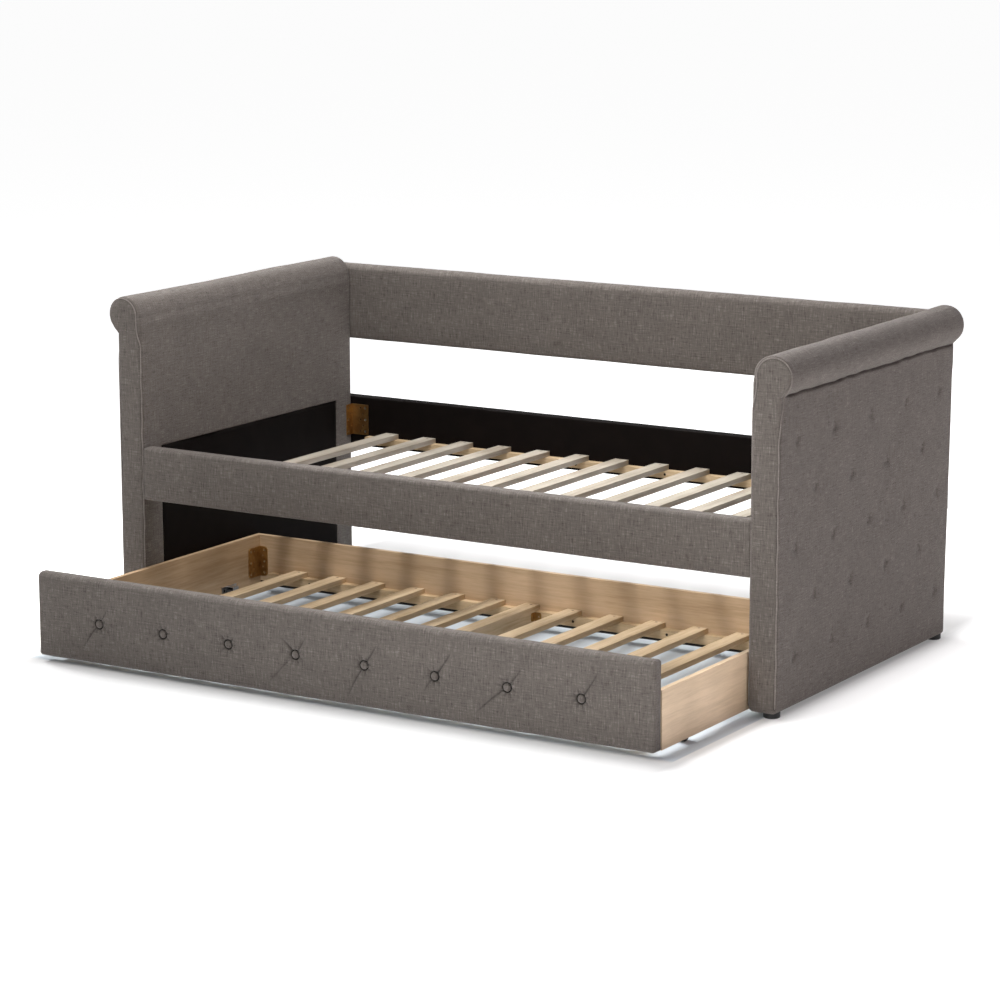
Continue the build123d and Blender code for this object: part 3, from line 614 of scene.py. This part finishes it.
def arm_cover(side):
    """The fabric of one arm with its padding, buttons' dips, crease and front seam."""
    sign = SIDES[side]
    tufts = tuft_places(side)
    profile, spine = arm_outline(sorted(set(tufts[:, 1].round(4))))
    depth = REAR_Y - FRONT_Y
    columns = sorted(set((tufts[:, 0] - FRONT_Y).round(4)))
    columns += [LINING_LO[1] - FRONT_Y, LINING_HI[1] - FRONT_Y]
    middle = np.concatenate([
        spaced([FRONT_R, 0.03], [7])[:-1],
        clustered(0.03, depth - REAR_R, columns, 0.022, FINE, COARSE),
    ])
    rear = [(depth - s, inset) for s, inset in reversed(rounded_end(REAR_R))]
    stations = rounded_end(FRONT_R) + [(s, 0.0) for s in middle] + rear
    cap = (0.04, 0.10, 0.16, 0.24, 0.36, 0.52, 0.72, 1.0)

    def place(flat):
        return np.column_stack([sign * (INNER_X + flat[:, 0]), FRONT_Y + flat[:, 2], flat[:, 1]])

    verts, faces, uvs, flat = sweep(profile, spine, stations, cap, place)
    o, z, s = flat[:, 0], flat[:, 1], flat[:, 2]
    normal = normals_of(verts, faces)
    if (normal[:, 0] * sign * (o - 0.04)).sum() < 0:
        normal = -normal
    seed = 11 if side == "right" else 23
    move = np.zeros(len(verts))
    facing_out = np.clip(normal[:, 0] * sign, 0, 1)
    facing_in = np.clip(-normal[:, 0] * sign, 0, 1)
    facing_front = np.clip(-normal[:, 1], 0, 1)
    # padding: the outer face swells between its edges and is drawn in at the buttons
    upright_edge = np.minimum(s, depth - s)
    edge = np.minimum(upright_edge, np.minimum(z - ARM_BOTTOM, np.maximum(CREASE_Z - z, 0)))
    swell = 0.0026 * smooth(edge / 0.10) * facing_out * smooth((CREASE_Z - z) / 0.03)
    ripple = 0.0013 * wave_noise(verts, 0.36, seed) * (facing_out + 0.7 * facing_in)
    move += swell + ripple * smooth(edge / 0.05)
    painted_shade = np.zeros(len(verts))
    for k, (ty, tz) in enumerate(tufts):
        dy, dz = verts[:, 1] - ty, verts[:, 2] - tz
        d = np.hypot(dy, dz)
        close = (d < 0.12) & (facing_out > 0.5)
        turn = np.arctan2(dz, dy)
        folds = bell(np.sin((turn * 3 + k * 1.7) / 2), 0.34) * bell(d - 0.014, 0.010)
        dip = 0.0042 * bell(d, 0.0140) + 0.0015 * np.exp(-d / 0.034) + 0.0010 * folds
        move -= np.where(close, dip, 0.0)
        # painted shade: a dark ring round each button and along its folds
        ring = 0.30 * bump(d - 0.0105, 0.0034) + 0.16 * folds
        painted_shade = np.maximum(painted_shade, np.where(close, ring, 0.0))
    # the roll: thick padding with soft long waves
    on_roll = smooth((z - 0.845) / 0.02)
    move += 0.0009 * wave_noise(verts, 0.30, seed + 3) * on_roll
    # crease under the roll, gathered into small puckers, fading out near the front seam, with a painted
    # shadow along it
    length = smooth((s - 0.020) / 0.035) * smooth((depth - 0.004 - s) / 0.02)
    puckers = np.sin(2 * np.pi * s / 0.061 + 1.3 * np.sin(s * 21.0)) * np.sin(s * 9.0 + 1.0)
    gather = 0.72 + 0.28 * puckers
    drift = CREASE_Z + 0.0016 * np.sin(s * 17.0) + 0.0011 * np.sin(s * 53.0 + 0.7)
    near_crease = (o > 0.07) & (np.abs(z - CREASE_Z) < 0.03)
    fold_in = 0.0085 * bell(z - drift, 0.0034) * length * gather
    lip_waves = 0.55 + 0.45 * np.sin(s * 2 * np.pi / 0.083 + 0.5)
    lip = 0.0016 * bell(z - drift + 0.010, 0.0045) * length * lip_waves
    out_move = np.where(near_crease, lip - fold_in, 0.0)
    # painted shadow in the crease, darkest where the puckers gather
    shadow = 0.62 * bell(z - drift, 0.0032) * length * (0.15 + 0.85 * gather ** 2)
    painted_shade = np.maximum(painted_shade, np.where(near_crease, shadow, 0.0))
    # the front strip and the front of the roll are crowned
    inset = np.minimum(o, WALL - o)
    crown = 0.0022 * smooth(inset / 0.03) * facing_front * (z < 0.85)
    roll_d = np.hypot(o - ROLL_O, z - ROLL_Z)
    crown = np.maximum(crown, 0.0030 * smooth((0.050 - roll_d) / 0.03) * facing_front)
    move += crown
    # the inner face pads out a little between the dust cloth and the roll
    move += 0.0010 * facing_in * bell(z - 0.70, 0.16) * smooth(edge / 0.08)
    # the seam round the front strip is drawn in, with painted shade along its groove
    seam = seam_path(side)
    from_seam = np.full(len(verts), 1.0)
    front_part = s < 0.05
    gaps = np.linalg.norm(flat[front_part][:, None, :] - seam[None, :, :], axis=2)
    from_seam[front_part] = gaps.min(1)
    move -= 0.0016 * bell(from_seam, 0.0030)
    painted_shade = np.maximum(painted_shade, 0.55 * bump(from_seam - 0.0016, 0.0030))
    # the dust cloth lies in a shallow step in the inner face
    y = FRONT_Y + s
    in_step = np.minimum(np.minimum(y - LINING_LO[1], LINING_HI[1] - y), LINING_HI[2] - z)
    stepped = smooth(in_step / 0.004 + 0.4) * (o < 0.012)
    step_depth = 0.0030
    move = move * (1 - stepped * facing_in) - step_depth * stepped * facing_in
    verts = verts + normal * move[:, None]
    verts[:, 0] += sign * out_move
    # the front outer edge isn't quite straight
    bend = 0.0014 * np.sin(z * 13.0 + seed) * smooth((0.8 - z) / 0.1)
    verts[:, 0] += sign * bend * smooth((o - 0.05) / 0.03) * np.exp(-s / 0.12)
    # the rear outer edge leans in towards the floor, as the padding thins
    lean = 0.0175 * smooth((0.76 - z) / 0.74) * smooth((o - 0.062) / 0.018)
    lean -= 0.0045 * smooth((z - 0.74) / 0.05) * smooth((o - 0.06) / 0.02)
    verts[:, 1] -= lean * smooth((s - (depth - 0.10)) / 0.10)
    obj = clean(mesh_from(f"{side}_arm_upholstery", verts, faces, uvs, FABRIC, painted_shade))
    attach(obj, "daybed")
    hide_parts(f"{side}_arm_cover")

    # welt along the front strip's seam
    points = np.column_stack([sign * (INNER_X + seam[:, 0]), FRONT_Y + seam[:, 2], seam[:, 1]])
    welt = tube(f"{side}_arm_front_welt", points, 0.0020, WELT_HIGHLIGHT)
    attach(welt, "daybed")


for side in SIDES:
    arm_cover(side)


def covered_buttons(name, spots, outward, radius, rise, body, node):
    """Fabric-covered buttons, domed, with a rolled edge, as one piece of separate closed shells."""
    # a button's section: (share of the radius, share of the rise), from its middle to its back
    sections = [
        (0.0, 1.0), (0.35, 0.97), (0.62, 0.86), (0.82, 0.64), (0.94, 0.36), (1.0, 0.05),
        (0.97, -0.25), (0.80, -0.45), (0.0, -0.50),
    ]
    around = 20
    out = np.array(outward, float)
    up = np.array([0.0, 0.0, 1.0])
    across = np.cross(up, out)
    verts, faces, uvs = [], [], []
    for spot in np.array(spots):
        base = len(verts)
        for share, height in sections:
            for k in range(around):
                t = 2 * math.pi * k / around
                way = math.cos(t) * across + math.sin(t) * up
                verts.append(spot + radius * share * way + out * height * rise)
        for ring in range(len(sections) - 1):
            for k in range(around):
                a, b = base + ring * around + k, base + ring * around + (k + 1) % around
                c, d = a + around, b + around
                faces.append((a, b, d, c))
                for v in (a, b, d, c):
                    q = verts[v] - spot
                    uvs.append((q @ across + spot[0] + spot[1], q @ up + spot[2]))
    obj = clean(mesh_from(name, verts, faces, uvs, FABRIC), 0.00005)
    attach(obj, body)
    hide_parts(node)


ARM_BUTTON_DEPTH = 0.0062  # how far a button's rim lies inside the arm's outer face
for side, sign in SIDES.items():
    spots = [(sign * (INNER_X + WALL - ARM_BUTTON_DEPTH), y, z) for y, z in tuft_places(side)]
    covered_buttons(
        f"{side}_arm_buttons", spots, (sign, 0, 0), 0.0090, 0.0034, "daybed", "arm_buttons"
    )


# ------------------------ upholstered boards
def rounded_profile(y0, y1, z0, z1, radii, steps):
    """A rounded rectangle in (y, z), anticlockwise from the front bottom corner.

    radii are those of the corners front-bottom, rear-bottom, rear-top and front-top. steps is
    the number for each corner, and the numbers for the sides bottom, rear, top and front.
    """
    fb, rb, rt, ft = radii
    corner_steps, (bottom_steps, rear_steps, top_steps, front_steps) = steps
    profile = np.concatenate([
        arc(y0 + fb, z0 + fb, fb, 180, 270, corner_steps),
        line((y0 + fb, z0), (y1 - rb, z0), bottom_steps),
        arc(y1 - rb, z0 + rb, rb, 270, 360, corner_steps),
        line((y1, z0 + rb), (y1, z1 - rt), rear_steps),
        arc(y1 - rt, z1 - rt, rt, 0, 90, corner_steps),
        line((y1 - rt, z1), (y0 + ft, z1), top_steps),
        arc(y0 + ft, z1 - ft, ft, 90, 180, corner_steps),
        line((y0, z1 - ft), (y0, z0 + fb), front_steps),
    ])
    half = (y1 - y0) / 2
    middle = np.full(len(profile), (y0 + y1) / 2)
    spine = np.stack([middle, np.clip(profile[:, 1], z0 + half, z1 - half)], 1)
    return profile, spine


def padded_board(name, node, body, radii, steps, long_steps, r, shape, look, below=0.0):
    """A board in its cover: shape gives how far each point moves outward, and its painted shade.

    r rounds the edges of both ends, and below is how far the cloth hangs under the board. look
    is the material and a slot name, which is not used.
    """
    lo, hi = (np.array(v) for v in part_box(node))
    lo = lo - np.array([0, 0, below])
    profile, spine = rounded_profile(lo[1], hi[1], lo[2], hi[2], radii, steps)
    length = hi[0] - lo[0]
    start = rounded_end(r)
    end = [(length - s, inset) for s, inset in reversed(start)]
    stations = start + [(s, 0.0) for s in spaced([r, length - r], [long_steps])] + end
    cap = (0.15, 0.35, 0.6, 1.0)

    def place(flat):
        return np.column_stack([lo[0] + flat[:, 2], flat[:, 0], flat[:, 1]])

    verts, faces, uvs, _ = sweep(profile, spine, stations, cap, place)
    normal = normals_of(verts, faces)
    if (normal * (verts - (lo + hi) / 2)).sum() < 0:
        normal = -normal
    move, painted_shade = shape(verts, normal, lo, hi)
    verts = verts + normal * move[:, None]
    uvs = np.array(uvs)[:, ::-1]
    material, slot = look
    obj = clean(mesh_from(name, verts, faces, uvs, material, painted_shade))
    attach(obj, body)
    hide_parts(node)


def edge_distance(verts, lo, hi, ways=(0, 2)):
    """How far each point lies inside the nearest of the box's sides across the given ways."""
    return np.minimum.reduce([np.minimum(verts[:, k] - lo[k], hi[k] - verts[:, k]) for k in ways])


def plain_pad(seed, swell=0.0020, ripple=0.0009):
    """The shape of a board's plain padding: a little swell and long ripples."""

    def shape(verts, normal, lo, hi):
        front = np.abs(normal[:, 1])
        waves = ripple * wave_noise(verts, 0.33, seed) * (0.35 + 0.65 * front)
        waves *= smooth(edge_distance(verts, lo, hi, (0,)) / 0.03)
        waves *= np.where(normal[:, 1] > 0.7, 0.2, 1.0)
        return front * swell * smooth(edge_distance(verts, lo, hi) / 0.05) - 0.0004 + waves, None

    return shape


GREY = (FABRIC, "grey_fabric")
padded_board(
    "back_board_upholstery", "back_board_cover", "daybed",
    (0.010, 0.010, 0.017, 0.019), (8, (6, 24, 5, 34)), 300, 0.012,
    plain_pad(31), GREY,
)
padded_board(
    "front_rail_upholstery", "front_rail_cover", "daybed",
    (0.008, 0.006, 0.010, 0.011), (7, (5, 14, 5, 24)), 300, 0.006,
    plain_pad(37, 0.0014, 0.0007), GREY,
)


def stapled_cloth(verts, normal, lo, hi):
    """Cloth pulled over a board: nearly flat, with faint pulls down from the top edge."""
    pulls = np.sin(verts[:, 0] * 2 * np.pi / 0.17 + 2.0 * np.sin(verts[:, 0] * 5.0))
    down = smooth((verts[:, 2] - lo[2]) / (hi[2] - lo[2]))
    return -0.0006 + 0.0006 * pulls * down * np.abs(normal[:, 1]), None


padded_board(
    "rear_rail_cloth", "rear_rail_cover", "daybed",
    (0.003, 0.003, 0.004, 0.004), (5, (5, 14, 5, 14)), 220, 0.004,
    stapled_cloth, (CLOTH, "black_cloth"), 0.009,
)

# ------------------------ trundle front
PANEL_FRONT_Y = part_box("trundle_front_cover")[0].y
BUTTON_LO, BUTTON_HI = (np.array(v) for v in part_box("trundle_front_buttons"))
BUTTON_R = 0.0125  # of the CAD node's buttons
BUTTON_X = np.linspace(BUTTON_LO[0] + BUTTON_R, BUTTON_HI[0] - BUTTON_R, 8)
BUTTON_Z = (BUTTON_LO[2] + BUTTON_HI[2]) / 2
# Pleats that run from a button: (button, their end's x and z from the button, strength).
PLEATS = [
    (0, 0.040, 0.062, 0.7), (0, -0.062, -0.086, 0.9), (0, -0.016, 0.014, 0.5),
    (1, -0.034, 0.012, 0.35), (1, -0.046, -0.004, 0.3),
    (2, 0.026, 0.036, 0.6), (2, -0.030, 0.030, 0.5),
    (3, 0.040, 0.058, 0.9), (3, -0.044, 0.044, 0.9), (3, -0.095, -0.100, 0.5),
    (4, 0.048, 0.072, 1.0), (4, -0.058, -0.108, 0.9), (4, -0.030, 0.006, 0.4),
    (5, 0.060, 0.082, 1.0), (5, -0.036, -0.054, 0.7), (5, -0.030, 0.008, 0.4),
    (6, 0.055, 0.070, 0.7), (6, -0.105, -0.092, 0.9),
    (7, 0.058, 0.088, 1.0), (7, -0.040, 0.006, 0.35),
]


def tufted_front(verts, normal, lo, hi):
    """The trundle's front: padding with a pocket round each button, and pleats between them, with
    painted shade in each pocket's rim, in the crimps round it and along the pleats.
    """
    x, z = verts[:, 0], verts[:, 2]
    front = np.clip(-normal[:, 1], 0, 1)
    edge = edge_distance(verts, lo, hi)
    move = front * 0.0028 * smooth(edge / 0.06) - 0.0012
    move += 0.0010 * wave_noise(verts, 0.26, 53) * front
    painted_shade = np.zeros(len(verts))
    for bx in BUTTON_X:
        dx, dz = x - bx, z - BUTTON_Z
        d = np.hypot(dx, dz)
        pocket = 0.0056 * smooth((0.0160 - d) / 0.0040)
        dip = pocket + 0.0034 * bell(d, 0.024) + 0.0020 * np.exp(-d / 0.05)
        spokes = np.cos(np.arctan2(dz, dx) * 8 + bx * 9)
        move -= front * (dip - 0.0011 * bell(d - 0.022, 0.009) * spokes)
        # painted shade: a dark ring in each button's pocket, and in the crimps round it
        ring = smooth((d - 0.0085) / 0.0015) * smooth((0.0158 - d) / 0.0030)
        crimp_shade = 0.35 * bell(d - 0.020, 0.006) * np.clip(-spokes, 0, 1)
        painted_shade = np.maximum(painted_shade, front * np.maximum(ring, crimp_shade))
    for index, ex, ez, strength in PLEATS:
        long = math.hypot(ex, ez)
        way_x, way_z = ex / long, ez / long
        dx, dz = x - BUTTON_X[index], z - BUTTON_Z
        along = dx * way_x + dz * way_z
        share = np.clip(along / long, 0, 1)
        bow = dz * way_x - dx * way_z + 0.0025 * np.sin(share * math.pi)
        on = smooth(along / 0.006) * smooth((long - along) / (0.45 * long))
        drawn = front * on * strength * (1 - 0.5 * share)
        move -= drawn * (0.0034 * bell(bow, 0.0026) - 0.0014 * bell(bow - 0.0075, 0.0055))
        # painted shade along each pleat's fold
        painted_shade = np.maximum(painted_shade, 0.75 * drawn * bell(bow, 0.0021))
    return move, painted_shade


padded_board(
    "trundle_front_upholstery", "trundle_front_cover", "trundle",
    (0.010, 0.004, 0.010, 0.017), (8, (5, 12, 6, 108)), 960, 0.010,
    tufted_front, GREY,
)
covered_buttons(
    "trundle_front_covered_buttons",
    [(x, PANEL_FRONT_Y + 0.0046, BUTTON_Z) for x in BUTTON_X],
    (0, -1, 0), 0.0108, 0.0052, "trundle", "trundle_front_buttons",
)


# ------------------------ black dust cloths in the arms
def lining(side):
    """A thin cloth stapled over the arm's open lower half, slack between its edges."""
    sign = SIDES[side]
    thick = 0.0012
    ny, nz = 90, 52
    y = np.linspace(LINING_LO[1] + 0.001, LINING_HI[1] - 0.001, ny)
    z = np.linspace(LINING_LO[2] + 0.001, LINING_HI[2] - 0.0005, nz)
    yy, zz = (grid.ravel() for grid in np.meshgrid(y, z, indexing="ij"))
    edge = np.minimum.reduce([yy - y[0], y[-1] - yy, zz - z[0], z[-1] - zz])
    points = np.column_stack([np.zeros(yy.size), yy, zz])
    slack = 0.0007 * wave_noise(points, 0.24, 61 if side == "left" else 67) * smooth(edge / 0.05)
    face = INNER_X + 0.0009 + slack
    faces = []
    sheet_x = np.concatenate([face, face + thick])
    verts = np.column_stack([sign * sheet_x, np.tile(yy, 2), np.tile(zz, 2)])
    n = ny * nz
    for i in range(ny - 1):
        for j in range(nz - 1):
            a, b, c, d = i * nz + j, (i + 1) * nz + j, (i + 1) * nz + j + 1, i * nz + j + 1
            faces.append((a, b, c, d))
            faces.append((n + d, n + c, n + b, n + a))
    rim = [i * nz for i in range(ny)] + [(ny - 1) * nz + j for j in range(1, nz)]
    rim += [i * nz + nz - 1 for i in reversed(range(ny - 1))] + list(reversed(range(1, nz - 1)))
    for a, b in zip(rim, rim[1:] + rim[:1]):
        faces.append((a, b, n + b, n + a))
    obj = clean(mesh_from(f"{side}_dust_cloth", verts, faces, None, CLOTH), 0.00001)
    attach(obj, "daybed")
    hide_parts("arm_linings")


for side in SIDES:
    lining(side)


# ------------------------ corner brackets
def pieces_of(node):
    """The lowest and highest corners of each separate piece of a node."""
    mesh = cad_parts[node].data
    co = np.array([v.co for v in mesh.vertices], float)
    first = {}
    same = [first.setdefault(tuple(p), k) for k, p in enumerate(co.round(6).tolist())]
    head = list(range(len(co)))

    def top(k):
        while head[k] != k:
            head[k] = head[head[k]]
            k = head[k]
        return k

    for polygon in mesh.polygons:
        one = top(same[polygon.vertices[0]])
        for other in polygon.vertices[1:]:
            head[top(same[other])] = one
    tops = np.array([top(same[k]) for k in range(len(co))])
    return [(co[tops == k].min(0), co[tops == k].max(0)) for k in sorted(set(tops.tolist()))]


def plate(length, height, thick, corner, holes):
    """Vertices and faces of a flat plate with rounded far corners; holes are (u, v, radius)."""
    curve = bpy.data.curves.new("plate", "CURVE")
    curve.dimensions = "2D"
    curve.fill_mode = "BOTH"
    eased = 0.0005  # the bevel of its edges
    curve.extrude = thick / 2 - eased
    curve.bevel_depth = eased
    curve.bevel_resolution = 1
    curve.offset = -eased
    outline = [(0.0, 0.0)]
    for middle_v, first in ((corner, -90), (height - corner, 0)):
        for turn in np.radians(np.arange(first, first + 91, 10)):
            u, v = length - corner + corner * math.cos(turn), middle_v + corner * math.sin(turn)
            outline.append((u, v))
    outline.append((0.0, height))
    rims = [outline]
    for u, v, r in holes:
        turns = np.linspace(0, -2 * math.pi, 21)[:-1]
        rims.append([(u + r * math.cos(t), v + r * math.sin(t)) for t in turns])
    for rim in rims:
        spline = curve.splines.new("POLY")
        spline.points.add(len(rim) - 1)
        for point, (u, v) in zip(spline.points, rim):
            point.co = (u, v, 0.0, 1.0)
        spline.use_cyclic_u = True
    holder = bpy.data.objects.new("plate", curve)
    mesh = bpy.data.meshes.new_from_object(holder)
    verts = np.array([v.co for v in mesh.vertices], float)
    faces = [tuple(p.vertices) for p in mesh.polygons]
    bpy.data.objects.remove(holder)
    bpy.data.meshes.remove(mesh)
    bpy.data.curves.remove(curve)
    return verts, faces


def brackets(name, node, body, screw_leg, corner_r, middle_y):
    """Folded angle plates in place of the plain ones; screw_leg is the leg with spare holes.

    Plates in front of middle_y fold towards the rear, and those behind it towards the front.
    """
    verts, faces = [], []
    metal_thick = 0.0025
    edge, step = 0.011, 0.018  # from the edges to the big holes, and on to the screw holes
    big, screw, spare, small_hole = 0.0041, 0.0025, 0.0022, 0.0028  # radii
    for lo, hi in pieces_of(node):
        height = hi[2] - lo[2]
        small = height < 0.05
        x_dir = 1.0 if small or lo[0] + hi[0] <= 0 else -1.0
        corner_x = lo[0] if x_dir > 0 else hi[0]
        front = (lo[1] + hi[1]) / 2 < middle_y
        y_dir = 1.0 if front else -1.0
        corner_y = lo[1] if front else hi[1]
        for leg, reach in (("X", hi[0] - lo[0]), ("Y", hi[1] - lo[1])):
            if small:
                holes = [(reach - 0.008, height / 2, small_hole)]
            else:
                rows = [edge, height / 2, height - edge]
                gaps = [(rows[0] + rows[1]) / 2, (rows[1] + rows[2]) / 2]
                holes = [(reach - edge, row, big) for row in rows]
                if leg == screw_leg:
                    holes += [(reach - edge - step, row, screw) for row in rows]
                    holes += [(reach - edge - step / 2, gap, spare) for gap in gaps]
                else:
                    holes += [(edge, gap, screw) for gap in gaps]
            flat, flat_faces = plate(reach, height, metal_thick, min(corner_r, height / 4), holes)
            base = sum(len(v) for v in verts)
            u, v, w = flat[:, 0], flat[:, 1], flat[:, 2] + metal_thick / 2
            x, y = (u, w) if leg == "X" else (w, u)
            verts.append(np.column_stack([corner_x + x_dir * x, corner_y + y_dir * y, lo[2] + v]))
            faces += [tuple(base + i for i in f) for f in flat_faces]
    obj = clean(mesh_from(name, np.concatenate(verts), faces, None, BRASS), 0.000001)
    obj.data.polygons.foreach_set("use_smooth", [False] * len(obj.data.polygons))
    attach(obj, body)
    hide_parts(node)


brackets("bed_folded_brackets", "bed_corner_brackets", "daybed", "X", 0.004, 0.2)
brackets("trundle_folded_brackets", "trundle_brackets", "trundle", "Y", 0.011, -0.25)

# ------------------------ carried-over CAD nodes
# each node's material, and how wide its edges are eased
DRESS = {
    "arm_glides": (GLIDE, 0),
    "back_bolts": (BLACK_BOLT, 0),
    "trundle_centre_beam": (TRUNDLE_SLAT_PINE, 0.0010),
    "bed_screws": (DARK_SCREW, 0),
    "trundle_screws": (DARK_SCREW, 0),
    "trundle_left_side": (SHADED_LEFT_SIDE_PINE, 0.0014),
    "trundle_right_side": (SIDE_PINE, 0.0014),
    "trundle_back": (BOARD_PINE, 0.0014),
    "caster_frames": (ZINC, 0.0004),
}
for place in ("bed_front", "bed_rear", "trundle_front", "trundle_rear"):
    DRESS[f"{place}_ledger"] = (LEDGER_PINE, 0.0010)
for place in ("back_board", "rear_rail", "front_rail", "trundle_front"):
    DRESS[f"{place}_core"] = (CORE_PINE, 0)
for side in SIDES:
    DRESS[f"{side}_arm_frame"] = (CORE_PINE, 0)
for number in range(1, 14):
    DRESS[f"bed_slat_{number:02d}"] = (SLAT_PINE, 0.0014)
    DRESS[f"trundle_slat_{number:02d}"] = (TRUNDLE_SLAT_PINE, 0.0014)
for place in ("front_left", "front_right", "rear_left", "rear_right"):
    DRESS[f"{place}_wheel"] = (RUBBER, 0)
for node, (material, eased) in DRESS.items():
    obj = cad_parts[node]
    obj.data.materials.clear()
    obj.data.materials.append(material)
    if eased:
        bevel = obj.modifiers.new("eased", "BEVEL")
        bevel.width = eased
        bevel.segments = 2
        bevel.limit_method = "ANGLE"
        bevel.angle_limit = math.radians(60)
        bevel.harden_normals = False

# bracket screws, further out than bracket_x and above bracket_z, are bright; slat screws brown
for node, slat, bracket_x, bracket_z in (
    ("bed_screws", "bed_slat_01", 0.90, 0.40),
    ("trundle_screws", "trundle_slat_01", 0.87, 0.048),
):
    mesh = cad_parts[node].data
    mesh.materials.append(SCREW)
    mesh.materials.append(SLAT_SCREW)
    slat_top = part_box(slat)[1].z
    for polygon in mesh.polygons:
        middle = polygon.center
        if abs(middle.z - slat_top) < 0.002 and abs(polygon.normal.z) > 0.5:
            polygon.material_index = 2
        elif abs(middle.x) > bracket_x and middle.z > bracket_z:
            polygon.material_index = 1

# ------------------------ floor, light and camera
FLOOR = 90.0  # half its width
floor_corners = [(-FLOOR, -FLOOR, 0), (FLOOR, -FLOOR, 0), (FLOOR, FLOOR, 0), (-FLOOR, FLOOR, 0)]
floor = mesh_from("studio_floor", floor_corners, [(0, 1, 2, 3)])
floor_mat, g, floor_shader = nodes_for("studio_floor")
sides = g.new("SeparateXYZ")
g.put(sides.inputs[0], g.here())
# how far a point lies outside the bed's plan; past its sides this counts five times, so that
# the floor turns white sooner there
past = {}
for way, reach, weight in (("X", 1.00, 5.0), ("Y", 0.76, 1.0)):
    outside = g.math("SUBTRACT", g.math("ABSOLUTE", sides.outputs[way]), reach)
    past[way] = g.math("MULTIPLY", g.math("MAXIMUM", outside, 0.0), weight)
from_bed = g.math("SQRT", g.math("ADD", *[g.math("MULTIPLY", far, far) for far in past.values()]))
# the floor's glow, a painted light that keeps it white away from the bed and lower near it, as steps
# over ranges of that distance
painted_glow = g.range(from_bed, 0.6, 2.4, 0.0, 0.50)
for away, start, end, low, high in (
    (from_bed, 0.0, 0.03, 0.03, 0.22),
    (from_bed, 0.03, 0.12, 0.0, -0.05),
    (from_bed, 0.12, 0.60, 0.0, 0.25),
    (past["X"], 0.05, 0.45, 0.0, 0.28),
):
    painted_glow = g.math("ADD", painted_glow, g.range(away, start, end, low, high))
# painted shadow: the floor is painted greyer near the bed and bluish under it
painted_shadow_greys = [(0.02, 0.66), (0.10, 0.60), (0.24, 0.68), (0.45, 0.90)]
shades = [(0.0, (0.60, 0.66, 0.72))] + [(away, (grey, grey, grey)) for away, grey in painted_shadow_greys]
g.join(floor_shader, {
    "Base Color": g.ramp(from_bed, shades),
    # painted light: the floor glows, bluish inside the bed's plan and white outside it
    "Emission Color": g.ramp(from_bed, [(0.0, (0.80, 0.90, 1.0)), (0.02, (1.0, 1.0, 1.0))]),
    "Emission Strength": g.math("MINIMUM", painted_glow, 0.80),
    "Roughness": 0.9,
    "Specular IOR Level": 0.1,
})
floor.data.materials.append(floor_mat)

world = bpy.data.worlds.new("studio")
bpy.context.scene.world = world
world.use_nodes = True
background = world.node_tree.nodes["Background"]
background.inputs["Color"].default_value = (1.0, 1.0, 1.0, 1.0)
background.inputs["Strength"].default_value = 0.19


def soft_light(name, place, target, size, power, colour=(1.0, 1.0, 1.0), spread=180):
    """A rectangular lamp at a place, turned to a target; power in watts, spread in degrees."""
    data = bpy.data.lights.new(name, "AREA")
    data.shape = "RECTANGLE"
    data.size, data.size_y = size
    data.energy = power
    data.color = colour
    data.spread = math.radians(spread)
    obj = bpy.data.objects.new(name, data)
    bpy.context.scene.collection.objects.link(obj)
    obj.location = place
    obj.visible_camera = False
    obj.rotation_mode = "QUATERNION"
    obj.rotation_quaternion = (Vector(target) - Vector(place)).to_track_quat("-Z", "Y")


soft_light("key", (-0.32, -2.5, 3.4), (-0.32, 0.0, 0.2), (0.4, 1.2), 27)
soft_light("overhead", (-0.32, -0.4, 3.4), (-0.32, 0.0, 0.2), (0.4, 1.4), 52)
soft_light("zenith", (-0.1, 0.1, 7.0), (-0.1, 0.0, 0.2), (1.6, 1.6), 136)
soft_light("left_top", (-4.5, 0.8, 4.5), (0.2, 0.0, 0.8), (2.0, 2.0), 42, spread=50)
soft_light("behind", (-0.6, 5.5, 2.0), (0.0, 0.0, 0.6), (5.0, 2.6), 50)
soft_light("right_side", (4.5, 0.5, 2.8), (0.0, 0.0, 0.4), (2.0, 2.0), 9, (1.0, 0.36, 0.54))
soft_light("right_front", (0.9, -6.0, 1.8), (0.9, 0.0, 0.5), (1.0, 1.0), 5.6, spread=36)

CAMERA_PLACE = (4.8068, -7.7361, 2.2617)
YAW = math.radians(31.6865)
PITCH = math.radians(11.477)
ROLL = math.radians(-0.0868)
SENSOR = 36.0
FOCAL = 3368.2 / 1000.0  # focal length over the frame's width
forward = Vector((-math.sin(YAW) * math.cos(PITCH), math.cos(YAW) * math.cos(PITCH), -math.sin(PITCH)))
right = Vector((math.cos(YAW), math.sin(YAW), 0.0))
above = right.cross(forward)
turned_right = right * math.cos(ROLL) + above * math.sin(ROLL)
turned_up = above * math.cos(ROLL) - right * math.sin(ROLL)
camera_data = bpy.data.cameras.new("camera")
camera_data.sensor_width = SENSOR
camera_data.lens = FOCAL * SENSOR
camera_data.clip_start = 0.05
camera_data.clip_end = 200.0
camera = bpy.data.objects.new("camera", camera_data)
bpy.context.scene.collection.objects.link(camera)
rows = Matrix((turned_right, turned_up, -forward)).transposed()
camera.matrix_world = Matrix.Translation(CAMERA_PLACE) @ rows.to_4x4()
bpy.context.scene.camera = camera
bpy.context.scene.view_settings.view_transform = "Standard"
bpy.context.scene.view_settings.look = "None"
